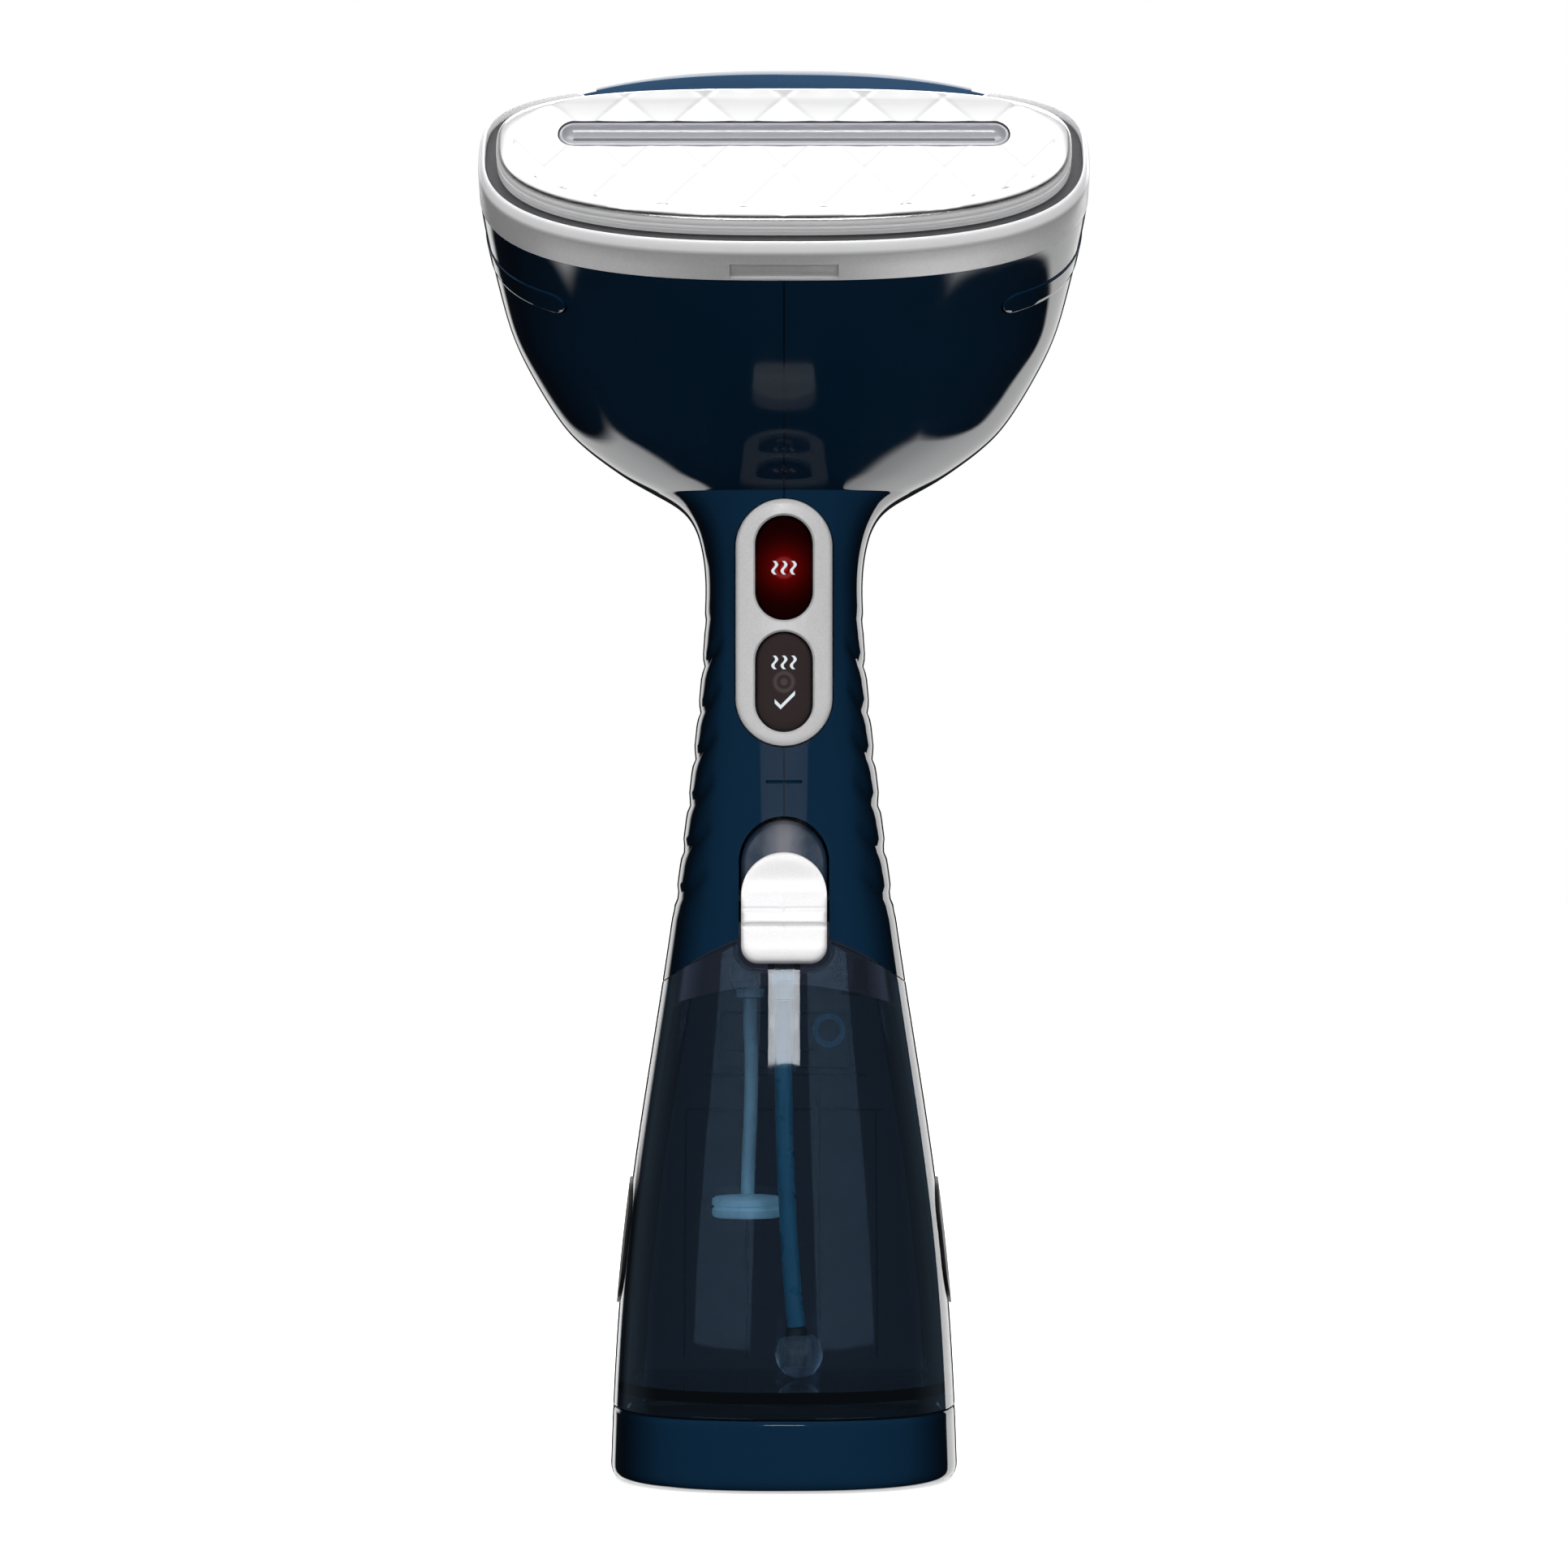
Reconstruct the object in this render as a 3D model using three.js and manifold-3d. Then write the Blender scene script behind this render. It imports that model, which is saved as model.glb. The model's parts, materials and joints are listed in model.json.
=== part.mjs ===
// Handheld garment steamer, as an assembly of separate solids.
// Millimetres, +Z up, steam plate towards -Y, origin at the centre of the foot's flat underside.

import * as THREE from "three";
import { mergeVertices } from "three/addons/utils/BufferGeometryUtils.js";
import Module from "manifold-3d";

const wasm = await Module();
wasm.setup();

// ---- driving dimensions ----

const GAP = 0.3; // clearance between neighbouring pieces
const WALL = 2.4; // housing wall
const RING_POINTS = 28; // points round a body section
const BODY_EXPONENT = 2.5; // superellipse exponent of the body sections

// Handle and foot: height, half width, depth in front of the axis, depth behind it.
const BODY_KNOTS = [
  [0, 41.8, 41.8, 46.0],
  [17, 41.2, 41.4, 45.4],
  [41, 39.8, 40.0, 43.8],
  [72, 36.5, 36.7, 40.5],
  [119, 29.3, 31.05, 34.5],
  [159, 23.7, 27.0, 29.4],
  [194, 20.0, 24.75, 26.8],
  [210, 19.0, 24.6, 26.4],
  [222, 19.7, 24.7, 26.5],
  [231, 23.6, 24.9, 26.9],
  [236, 30.0, 25.0, 27.2],
];
const NECK_Z = 236;
const BODY_LEVELS = [41, 72, 104, 139, 176, 210, 222, 228, 233];

// Head: sections that fan out from a level line ahead of the neck up to the plate's tilt.
const TILT = THREE.MathUtils.degToRad(55);
const FAN = { y: -114.8, z: NECK_Z };
const CHIN_FOOT = { y: -25, z: NECK_Z };
const CHIN_TOP = { y: -84, z: 280 };
const CROWN = { neckRadius: 142, drop: 26.6, power: 2.1 };
const HEAD_HALF_WIDTH = 69.6;
const NECK_HALF_WIDTH = 30;
const FAN_STEPS = [0.05, 0.14, 0.28, 0.48, 0.74, 1];

// Plate, rim and slot, in the head's own frame: x across, y up the plate, z out of it.
const PLATE_CENTRE = { y: -83.2, z: 309.3 };
const OUTLINE_RISE = 3.5; // the outlines are widest this far above the plate's centre
const PLATE = { half: 65.3, low: 24, high: 17, lowPower: 2.65, highPower: 2.95, skirt: 8 };
const RIM = { half: 69.6, low: 28, high: 22, lowPower: 2.65, highPower: 3.3, wall: 1.7 };
const RIM_FRONT = -4;
const RIM_BACK = -16;
const RIM_END_X = 43.5;

// The brow between the rim's ends: how far in front of the plate's face each step is, and how high.
const BROW = { half: 64, power: 2.4, endX: 43.1 };
const BROW_STEPS = [
  [-18, 34.0],
  [-16.3, 33.6],
  [-13, 32.3],
  [-11, 30.9],
  [-9.3, 29.5],
  [-8, 28.2],
  [-6.5, 25.6],
];
const SLOT = { width: 102, height: 7, rise: 5.5, trim: 1.2 };

// Tank and its joint with the handle.
const FOOT_TOP = 17.3;
const TANK_LOW = FOOT_TOP + GAP;
const TANK_BACK = 15.7;
const TANK_WALL = 2.6;
const TANK_FLOOR = 23.6;
const ARCH = { top: 131.7, drop: 13, span: 29.3, power: 1.8 };
const CEILING = { top: 118.9, drop: 6.3, span: 28, power: 2 };
const LATCH_NOTCH = { half: 10.9, low: 122.5, corner: 4.6 };
const UNDERSIDE = { top: 20.8, rim: 3.2, wayHalf: 26 }; // recess under the tank's floor
const PANEL_FRONT = 18.5;

// Latch, indicators and rear controls.
const SURFACE_LEAN = THREE.MathUtils.degToRad(-6.6); // lean of the handle's front at the latch
const LATCH_PLACE = { y: -28.5, z: 137.1 };
const LATCH = { half: 10.15, low: -13.1, high: 13.1, proud: 2.0, depth: 2.2 };
const BEZEL = { width: 23, low: 175.2, high: 233.9, front: -26.2, back: -23.4 };
const WINDOW_WIDTH = 13.75;
const WINDOWS = { turbo: [205.1, 229.95], ready: [178.6, 202.4] };
const TRIGGER = { width: 17, low: 176, high: 221, face: 30.3, back: 22.6, pivotY: 20.5, pivotZ: 215.5 };
const POWER_KNOB = { width: 9, low: 146.5, high: 155.5, travel: 5, proud: 2.2 };

// ---- materials ----

function plastic(color, roughness = 0.25) {
  return new THREE.MeshStandardMaterial({ color, roughness, metalness: 0 });
}

function metal(color, roughness = 0.35) {
  return new THREE.MeshStandardMaterial({ color, roughness, metalness: 1 });
}

const NAVY = 0x0c2c4c;
const SILVER = 0xc8c8cb;
const BLACK = 0x141416;
const BLUE_CLEAR = 0x5a8ba6;

// ---- solids ----

function solidOf(geometry) {
  const bare = geometry.index ? geometry.toNonIndexed() : geometry.clone();
  bare.deleteAttribute("normal");
  bare.deleteAttribute("uv");
  const merged = mergeVertices(bare, 1e-4);
  return new wasm.Manifold(new wasm.Mesh({
    numProp: 3,
    vertProperties: merged.attributes.position.array,
    triVerts: new Uint32Array(merged.index.array),
  }));
}

function geometryOf(solid) {
  const mesh = solid.getMesh();
  const geometry = new THREE.BufferGeometry();
  const positions = new Float32Array(mesh.numVert * 3);
  for (let i = 0; i < mesh.numVert; i += 1) {
    for (let k = 0; k < 3; k += 1) {
      positions[3 * i + k] = mesh.vertProperties[mesh.numProp * i + k];
    }
  }
  geometry.setAttribute("position", new THREE.BufferAttribute(positions, 3));
  geometry.setIndex(Array.from(mesh.triVerts));
  geometry.computeVertexNormals();
  return geometry;
}

// A closed solid through rings of equal point count, each ring closed by a fan at the ends.
function loft(rings) {
  const count = rings[0].length;
  const points = rings.flat();
  const faces = [];
  for (let r = 0; r + 1 < rings.length; r += 1) {
    for (let i = 0; i < count; i += 1) {
      const a = r * count + i;
      const b = r * count + ((i + 1) % count);
      faces.push(a, b, a + count, b, b + count, a + count);
    }
  }
  const ends = [0, rings.length - 1];
  for (const end of ends) {
    const middle = new THREE.Vector3();
    rings[end].forEach((p) => middle.addScaledVector(p, 1 / count));
    points.push(middle);
    for (let i = 0; i < count; i += 1) {
      const a = end * count + i;
      const b = end * count + ((i + 1) % count);
      faces.push(...(end === 0 ? [b, a] : [a, b]), points.length - 1);
    }
  }
  const geometry = new THREE.BufferGeometry().setFromPoints(points);
  geometry.setIndex(faces);
  return solidOf(turnedOutward(geometry));
}

function turnedOutward(geometry) {
  const p = geometry.attributes.position;
  const index = Array.from(geometry.index.array);
  const corner = (i) => new THREE.Vector3().fromBufferAttribute(p, index[i]);
  let volume = 0;
  for (let i = 0; i < index.length; i += 3) {
    volume += corner(i).dot(corner(i + 1).cross(corner(i + 2)));
  }
  if (volume < 0) {
    index.reverse();
    geometry.setIndex(index);
  }
  return geometry;
}

function box(x0, x1, y0, y1, z0, z1) {
  const geometry = new THREE.BoxGeometry(x1 - x0, y1 - y0, z1 - z0);
  geometry.translate((x0 + x1) / 2, (y0 + y1) / 2, (z0 + z1) / 2);
  return solidOf(geometry);
}

// A cylinder along one axis, "x", "y" or "z", from low to high, round the given centre.
function cylinder(axis, radius, low, high, centre, sides = 24) {
  const geometry = new THREE.CylinderGeometry(radius, radius, high - low, sides);
  if (axis === "x") geometry.rotateZ(-Math.PI / 2);
  if (axis === "z") geometry.rotateX(Math.PI / 2);
  const place = { x: 0, y: 0, z: 0, ...centre };
  place[axis] = (low + high) / 2;
  geometry.translate(place.x, place.y, place.z);
  return solidOf(geometry);
}

function tube(axis, outer, inner, low, high, centre, sides = 24) {
  const bore = cylinder(axis, inner, low - 1, high + 1, centre, sides);
  return cylinder(axis, outer, low, high, centre, sides).subtract(bore);
}

// Extrusions of an outline: along Y with the outline in X and Z, or along X with it in Y and Z.
function extrudeY(shape, y0, y1) {
  const geometry = new THREE.ExtrudeGeometry(shape, { depth: y1 - y0, bevelEnabled: false });
  geometry.rotateX(Math.PI / 2);
  geometry.translate(0, y1, 0);
  return solidOf(geometry);
}

function extrudeX(shape, x0, x1) {
  const geometry = new THREE.ExtrudeGeometry(shape, { depth: x1 - x0, bevelEnabled: false });
  geometry.translate(0, 0, x0);
  geometry.applyMatrix4(new THREE.Matrix4().makeBasis(
    new THREE.Vector3(0, 1, 0),
    new THREE.Vector3(0, 0, 1),
    new THREE.Vector3(1, 0, 0),
  ));
  return solidOf(geometry);
}

function extrudeZ(shape, z0, z1) {
  const geometry = new THREE.ExtrudeGeometry(shape, { depth: z1 - z0, bevelEnabled: false });
  geometry.translate(0, 0, z0);
  return solidOf(geometry);
}

// A stadium round the straight line from a to b.
function stadium(a, b, radius, steps = 8) {
  const lean = Math.atan2(b[1] - a[1], b[0] - a[0]);
  const points = [];
  for (const [centre, start] of [[b, lean - Math.PI / 2], [a, lean + Math.PI / 2]]) {
    for (let i = 0; i <= steps; i += 1) {
      const angle = start + (Math.PI * i) / steps;
      const x = centre[0] + radius * Math.cos(angle);
      points.push(new THREE.Vector2(x, centre[1] + radius * Math.sin(angle)));
    }
  }
  return new THREE.Shape(points);
}

// An upright stadium in X and Z between two heights.
function uprightStadium(x, width, low, high) {
  return stadium([x, low + width / 2], [x, high - width / 2], width / 2);
}

// A hose: a round section along a smooth curve through hand-picked points.
function hose(points, diameter, steps, sides = 8) {
  const path = new THREE.CatmullRomCurve3(points.map((p) => new THREE.Vector3(...p)));
  const section = new THREE.Shape();
  for (let i = 0; i < sides; i += 1) {
    const angle = (2 * Math.PI * i) / sides;
    const x = (diameter / 2) * Math.cos(angle);
    const y = (diameter / 2) * Math.sin(angle);
    if (i === 0) section.moveTo(x, y);
    else section.lineTo(x, y);
  }
  return new THREE.ExtrudeGeometry(section, { steps, extrudePath: path, bevelEnabled: false });
}

// A coil spring along Z.
function spring(radius, wire, low, high, turns) {
  class Helix extends THREE.Curve {
    getPoint(t, target = new THREE.Vector3()) {
      const angle = 2 * Math.PI * turns * t;
      const rise = low + wire / 2 + (high - low - wire) * t;
      return target.set(radius * Math.cos(angle), radius * Math.sin(angle), rise);
    }
  }
  const section = new THREE.Shape([
    new THREE.Vector2(wire / 2, 0),
    new THREE.Vector2(0, wire / 2),
    new THREE.Vector2(-wire / 2, 0),
    new THREE.Vector2(0, -wire / 2),
  ]);
  const options = { steps: turns * 9, extrudePath: new Helix(), bevelEnabled: false };
  return new THREE.ExtrudeGeometry(section, options);
}

// ---- body surface ----

function signedPower(value, power) {
  return Math.sign(value) * Math.abs(value) ** power;
}

// Points of a superellipse whose two halves, below and above its widest line, differ.
function superellipse(half, low, high, lowPower, highPower, count) {
  const points = [];
  for (let i = 0; i < count; i += 1) {
    const angle = (2 * Math.PI * i) / count;
    const upper = Math.sin(angle) >= 0;
    const power = 2 / (upper ? highPower : lowPower);
    const across = half * signedPower(Math.cos(angle), power);
    points.push([across, (upper ? high : low) * signedPower(Math.sin(angle), power)]);
  }
  return points;
}

// Smooth values between the body's knots.
function bodyAt(z) {
  const last = BODY_KNOTS.length - 1;
  let i = 0;
  while (i < last - 1 && BODY_KNOTS[i + 1][0] < z) i += 1;
  const slope = (j, k) => {
    const a = BODY_KNOTS[Math.max(0, j - 1)];
    const b = BODY_KNOTS[Math.min(last, j + 1)];
    return (b[k] - a[k]) / (b[0] - a[0]);
  };
  const [p, q] = [BODY_KNOTS[i], BODY_KNOTS[i + 1]];
  const span = q[0] - p[0];
  const t = Math.min(1, Math.max(0, (z - p[0]) / span));
  return [1, 2, 3].map((k) => {
    const start = (2 * t ** 3 - 3 * t ** 2 + 1) * p[k] + (t ** 3 - 2 * t ** 2 + t) * span * slope(i, k);
    return start + (3 * t ** 2 - 2 * t ** 3) * q[k] + (t ** 3 - t ** 2) * span * slope(i + 1, k);
  });
}

function levelRing(z, grow) {
  const [half, front, back] = bodyAt(z).map((v) => v + grow);
  return superellipse(half, front, back, BODY_EXPONENT, BODY_EXPONENT, RING_POINTS)
    .map(([x, y]) => new THREE.Vector3(x, y, z));
}

// The distance along a fan ray at which it meets the chin's straight line.
function chinRadius(angle) {
  const run = { y: CHIN_TOP.y - CHIN_FOOT.y, z: CHIN_TOP.z - CHIN_FOOT.z };
  const offset = { y: CHIN_FOOT.y - FAN.y, z: CHIN_FOOT.z - FAN.z };
  const cross = Math.cos(angle) * run.z - Math.sin(angle) * run.y;
  return (offset.y * run.z - offset.z * run.y) / cross;
}

function headSection(t) {
  const chin = chinRadius(t * TILT);
  const crown = CROWN.neckRadius - CROWN.drop * t ** CROWN.power;
  const spread = (1 - (1 - t) ** 3) ** 0.722;
  const middle = chin + (crown - chin) * (0.479 - 0.027 * t);
  const half = NECK_HALF_WIDTH + (HEAD_HALF_WIDTH - NECK_HALF_WIDTH) * spread;
  return { half, middle, low: middle - chin, high: crown - middle };
}

function fanRing(t, grow) {
  const { half, middle, low, high } = headSection(Math.min(t, 1));
  const power = BODY_EXPONENT + 0.12 * t;
  const angle = t * TILT;
  return superellipse(half + grow, low + grow, high + grow, power, power, RING_POINTS)
    .map(([x, r]) => new THREE.Vector3(
      x,
      FAN.y + (middle + r) * Math.cos(angle),
      FAN.z + (middle + r) * Math.sin(angle),
    ));
}

// The whole outer body from one height to the plate end, grown outward by an offset.
function bodySolid(lowZ, grow, plateEnd = 1) {
  const levels = [lowZ, ...BODY_LEVELS.filter((z) => z > lowZ + 2)];
  const rings = levels.map((z) => levelRing(z, grow));
  rings.push(fanRing(0, grow));
  FAN_STEPS.forEach((t) => rings.push(fanRing(t, grow)));
  if (plateEnd > 1) rings.push(fanRing(plateEnd, grow));
  return loft(rings);
}

// The straight column of the body between two heights.
function columnSolid(lowZ, highZ, grow) {
  const inside = BODY_LEVELS.filter((z) => z > lowZ + 2 && z < highZ - 2);
  return loft([lowZ, ...inside, highZ].map((z) => levelRing(z, grow)));
}

// The region under an arch that runs along Y, between two depths.
function underArch(arch, raise, lowZ, y0, y1, half = 60) {
  const steps = 12;
  const points = [new THREE.Vector2(-half, lowZ), new THREE.Vector2(half, lowZ)];
  for (let i = steps; i >= -steps; i -= 1) {
    const x = (half * i) / steps;
    const fall = arch.drop * (Math.min(Math.abs(x), 45) / arch.span) ** arch.power;
    points.push(new THREE.Vector2(x, arch.top - fall + raise));
  }
  return extrudeY(new THREE.Shape(points), y0, y1);
}

// ---- scene graph ----

const steamer = new THREE.Group();

const head = new THREE.Group();
head.position.set(0, PLATE_CENTRE.y, PLATE_CENTRE.z);
head.rotation.x = TILT;
steamer.add(head);
head.updateMatrixWorld(true);

const latch = new THREE.Group();
latch.position.set(0, LATCH_PLACE.y, LATCH_PLACE.z);
latch.rotation.x = SURFACE_LEAN;
steamer.add(latch);
latch.updateMatrixWorld(true);

function addPart(name, shape, material, parent = steamer) {
  const mesh = new THREE.Mesh(shape.isBufferGeometry ? shape : geometryOf(shape), material);
  mesh.name = name;
  parent.add(mesh);
  return mesh;
}

// A solid made in a group's own frame, as a solid in the object's frame.
function inWorld(solid, group) {
  return solidOf(geometryOf(solid).applyMatrix4(group.matrixWorld));
}

function outline(spec, grow, count = RING_POINTS) {
  const { half, low, high, lowPower, highPower } = spec;
  const points = superellipse(half + grow, low + grow, high + grow, lowPower, highPower, count);
  return new THREE.Shape(points.map(([x, y]) => new THREE.Vector2(x, y + OUTLINE_RISE)));
}

function slotShape(grow) {
  const reach = SLOT.width / 2 - SLOT.height / 2;
  return stadium([-reach, SLOT.rise], [reach, SLOT.rise], SLOT.height / 2 + grow);
}

// ---- cutters that several pieces share ----

const outer = bodySolid(FOOT_TOP + GAP, 0);
const inner = bodySolid(FOOT_TOP - 1, -WALL, 1.012);
const tankSpace = underArch(ARCH, GAP / 2, 0, -70, TANK_BACK + GAP);
const latchOpening = inWorld(
  extrudeY(uprightStadium(0, 21.4, -30, 21.6), -8, 12),
  latch,
);
const bezelOpening = extrudeY(
  uprightStadium(0, BEZEL.width + 2 * GAP, BEZEL.low - GAP, BEZEL.high + GAP),
  -32,
  -18,
);
const triggerOpening = extrudeY(
  uprightStadium(0, TRIGGER.width + 1.4, TRIGGER.low - 0.8, TRIGGER.high + 1.6),
  18,
  40,
);
const powerOpening = box(
  -POWER_KNOB.width / 2 - 0.5,
  POWER_KNOB.width / 2 + 0.5,
  20,
  40,
  POWER_KNOB.low - 0.7,
  POWER_KNOB.high + POWER_KNOB.travel + 0.7,
);

// Everything above the sloping seam between the housing halves and the head's top shell.
function aboveSeam(shift) {
  const seam = new THREE.Shape([
    new THREE.Vector2(-120, 339.3 + shift),
    new THREE.Vector2(28, 275 + shift),
    new THREE.Vector2(60, 275 + shift),
    new THREE.Vector2(60, 380),
    new THREE.Vector2(-120, 380),
  ]);
  return extrudeX(seam, -90, 90);
}

// Side insets: stadium patches let into both flanks of the head, square to the surface.
const INSET = {
  start: new THREE.Vector3(53.41, -66.16, 276.81),
  end: new THREE.Vector3(67.19, -42.81, 305.52),
  outward: new THREE.Vector3(0.769, -0.279, -0.574),
  radius: 3.2,
  inside: 12,
  outside: 22,
};

function insetPrism(radius) {
  const out = INSET.outward.clone().normalize();
  const run = INSET.end.clone().sub(INSET.start);
  run.addScaledVector(out, -run.dot(out));
  const length = run.length();
  run.divideScalar(length);
  const rise = out.clone().cross(run);
  const ring = stadium([0, 0], [length, 0], radius).getPoints().slice(0, -1);
  const at = (depth) => ring.map((p) => INSET.start.clone()
    .addScaledVector(run, p.x)
    .addScaledVector(rise, p.y)
    .addScaledVector(out, depth));
  return loft([at(-INSET.inside), at(INSET.outside)]);
}

// ---- housing ----

const SCREWS = [
  { y: 30, z: 45 },
  { y: 26, z: 92 },
  { y: 21, z: 139 },
];

function screwBosses(side) {
  return SCREWS.map(({ y, z }) => {
    const reach = bodyAt(z)[0] - 1.2;
    const ends = side < 0 ? [-reach, -GAP / 2] : [GAP / 2, reach];
    return cylinder("x", 3.6, ends[0], ends[1], { y, z }, 16);
  });
}

function housingHalf(side) {
  const shell = outer
    .subtract(inner)
    .subtract(tankSpace)
    .subtract(latchOpening)
    .subtract(bezelOpening)
    .subtract(triggerOpening)
    .subtract(powerOpening)
    .subtract(aboveSeam(-GAP / 2));
  const halfSpace = side < 0 ? box(-90, -GAP / 2, -140, 80, 0, 400) : box(GAP / 2, 90, -140, 80, 0, 400);
  let half = shell.intersect(halfSpace);
  screwBosses(side).forEach((boss) => {
    half = half.add(boss.intersect(outer));
  });
  SCREWS.forEach(({ y, z }) => {
    half = half.subtract(cylinder("x", 1.8, -60, 60, { y, z }, 16));
    if (side < 0) half = half.subtract(cylinder("x", 3.1, -60, -bodyAt(z)[0] * 0.7, { y, z }, 16));
  });
  const insetCut = insetPrism(INSET.radius + GAP);
  const mirrored = side < 0 ? insetCut.mirror([1, 0, 0]) : insetCut;
  return half.subtract(mirrored);
}

function addHousing() {
  addPart("housing_left", housingHalf(-1), plastic(NAVY));
  addPart("housing_right", housingHalf(1), plastic(NAVY));
  const patch = outer.subtract(inner).intersect(insetPrism(INSET.radius));
  addPart("side_inset_left", patch.mirror([1, 0, 0]), plastic(NAVY));
  addPart("side_inset_right", patch, plastic(NAVY));
  SCREWS.forEach(({ y, z }, i) => {
    const headX = -bodyAt(z)[0] * 0.7;
    const shaft = cylinder("x", 1.4, headX - 1, 12, { y, z }, 12);
    const cap = cylinder("x", 2.7, headX - 3, headX - 0.4, { y, z }, 12);
    addPart(`housing_screw_${i + 1}`, shaft.add(cap), metal(SILVER));
  });
}

// The top shell carries a brow that closes the gap between the rim's two ends.
function addTopShell() {
  const section = (half, power, [z, high]) => superellipse(half, RIM.low, high, power, power, RING_POINTS)
    .map(([x, y]) => new THREE.Vector3(x, y + OUTLINE_RISE, z));
  const brow = loft(BROW_STEPS.map((step) => section(BROW.half, BROW.power, step)))
    .intersect(box(-BROW.endX, BROW.endX, 10, 50, RIM_BACK - 1.5, 0))
    .subtract(extrudeZ(outline(PLATE, 1.2), -30, 5));
  const web = loft(BROW_STEPS.slice(0, 2).map((step) => section(RIM.half, BODY_EXPONENT + 0.12, step)))
    .subtract(extrudeZ(outline(RIM, -RIM.wall), -30, 5));
  const shell = outer.subtract(inner).add(inWorld(web, head)).intersect(aboveSeam(GAP / 2));
  addPart("head_top_shell", shell.add(inWorld(brow, head)), plastic(NAVY));
}

function addRim() {
  const tab = box(-12.3, 12.3, -26, -24.0, RIM_BACK - 1, RIM_BACK + 4);
  const rim = extrudeZ(outline(RIM, 0, 44), RIM_BACK, RIM_FRONT)
    .subtract(extrudeZ(outline(RIM, -RIM.wall, 44), RIM_BACK - 1, RIM_FRONT + 1))
    .subtract(box(-RIM_END_X, RIM_END_X, 10, 40, RIM_BACK - 1, RIM_FRONT + 1))
    .subtract(tab);
  addPart("rim_bezel", rim, metal(SILVER, 0.45), head);
}

// ---- steam plate and boiler ----

function addPlateAndBoiler() {
  const face = extrudeZ(outline(PLATE, 0), -PLATE.skirt, 0)
    .subtract(extrudeZ(outline(PLATE, -1.6), -PLATE.skirt - 1, -2.2))
    .subtract(extrudeZ(slotShape(GAP), -5, 2));
  addPart("steam_plate", face, metal(0xe4e4e6, 0.25), head);

  const trim = extrudeZ(slotShape(0), -3.4, -0.8).subtract(extrudeZ(slotShape(-SLOT.trim), -4, 0));
  addPart("slot_trim", trim, metal(SILVER, 0.3), head);

  const seal = extrudeZ(outline(PLATE, 0.4), -PLATE.skirt - 2, -PLATE.skirt - GAP)
    .subtract(extrudeZ(outline(PLATE, -4), -12, -6));
  addPart("plate_gasket", seal, plastic(0x6e6e72, 0.8), head);

  const steamWay = stadium([-40, SLOT.rise], [40, SLOT.rise], 1.5);
  const cover = extrudeZ(outline(PLATE, -1), -12.6, -PLATE.skirt - 2 - GAP)
    .subtract(extrudeZ(steamWay, -14, -8));
  addPart("boiler_cover", cover, metal(0xa8a8a8, 0.5), head);

  const block = extrudeZ(outline(PLATE, -13), -27, -12.6 - GAP)
    .subtract(extrudeZ(steamWay, -20, -8));
  addPart("boiler_block", block, metal(0x9a9a9a, 0.6), head);

  const turn = 9;
  const elementPath = [
    [-38, -6, -38],
    [-38, -6, -31.2],
    [-30, -6, -31.2],
    [20, -6, -31.2],
    [20 + turn, -6 + turn, -31.2],
    [20, -6 + 2 * turn, -31.2],
    [-30, -6 + 2 * turn, -31.2],
    [-38, -6 + 2 * turn, -31.2],
    [-38, -6 + 2 * turn, -38],
  ];
  addPart("heating_element", hose(elementPath, 6.6, 26), metal(0x8a8a8a, 0.5), head);
  addPart("boiler_thermostat", cylinder("z", 5, -33, -27 - GAP, { x: 0, y: 3 }), metal(0xb0b0b0), head);
  addPart("thermal_fuse", cylinder("x", 2, 36, 48, { y: 5, z: -29.6 }, 12), plastic(0xd8d4c4, 0.6), head);
}

// ---- indicators ----

function addIndicators() {
  let bezel = extrudeY(uprightStadium(0, BEZEL.width, BEZEL.low, BEZEL.high), BEZEL.front, BEZEL.back);
  const colours = { turbo: 0x5a0808, ready: 0x1c1214 };
  for (const [name, [low, high]] of Object.entries(WINDOWS)) {
    const middle = (low + high) / 2;
    bezel = bezel.subtract(extrudeY(uprightStadium(0, WINDOW_WIDTH, low, high), -30, -18));
    const lens = extrudeY(
      uprightStadium(0, WINDOW_WIDTH - 2 * GAP, low + GAP, high - GAP),
      BEZEL.front + 0.7,
      BEZEL.back + 0.2,
    );
    addPart(`${name}_lens`, lens, plastic(colours[name], 0.1));
    const led = cylinder("y", 2.5, BEZEL.back + 0.2 + GAP, -18.8, { z: middle }, 12);
    addPart(`${name}_led`, led, plastic(0xcc2010, 0.2));
  }
  addPart("handle_bezel", bezel, metal(SILVER, 0.4));
  addPart("indicator_board", box(-7, 7, -18.5, -16.9, 178, 232), plastic(0x1f5c36, 0.5));
}

// ---- latch ----

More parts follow.
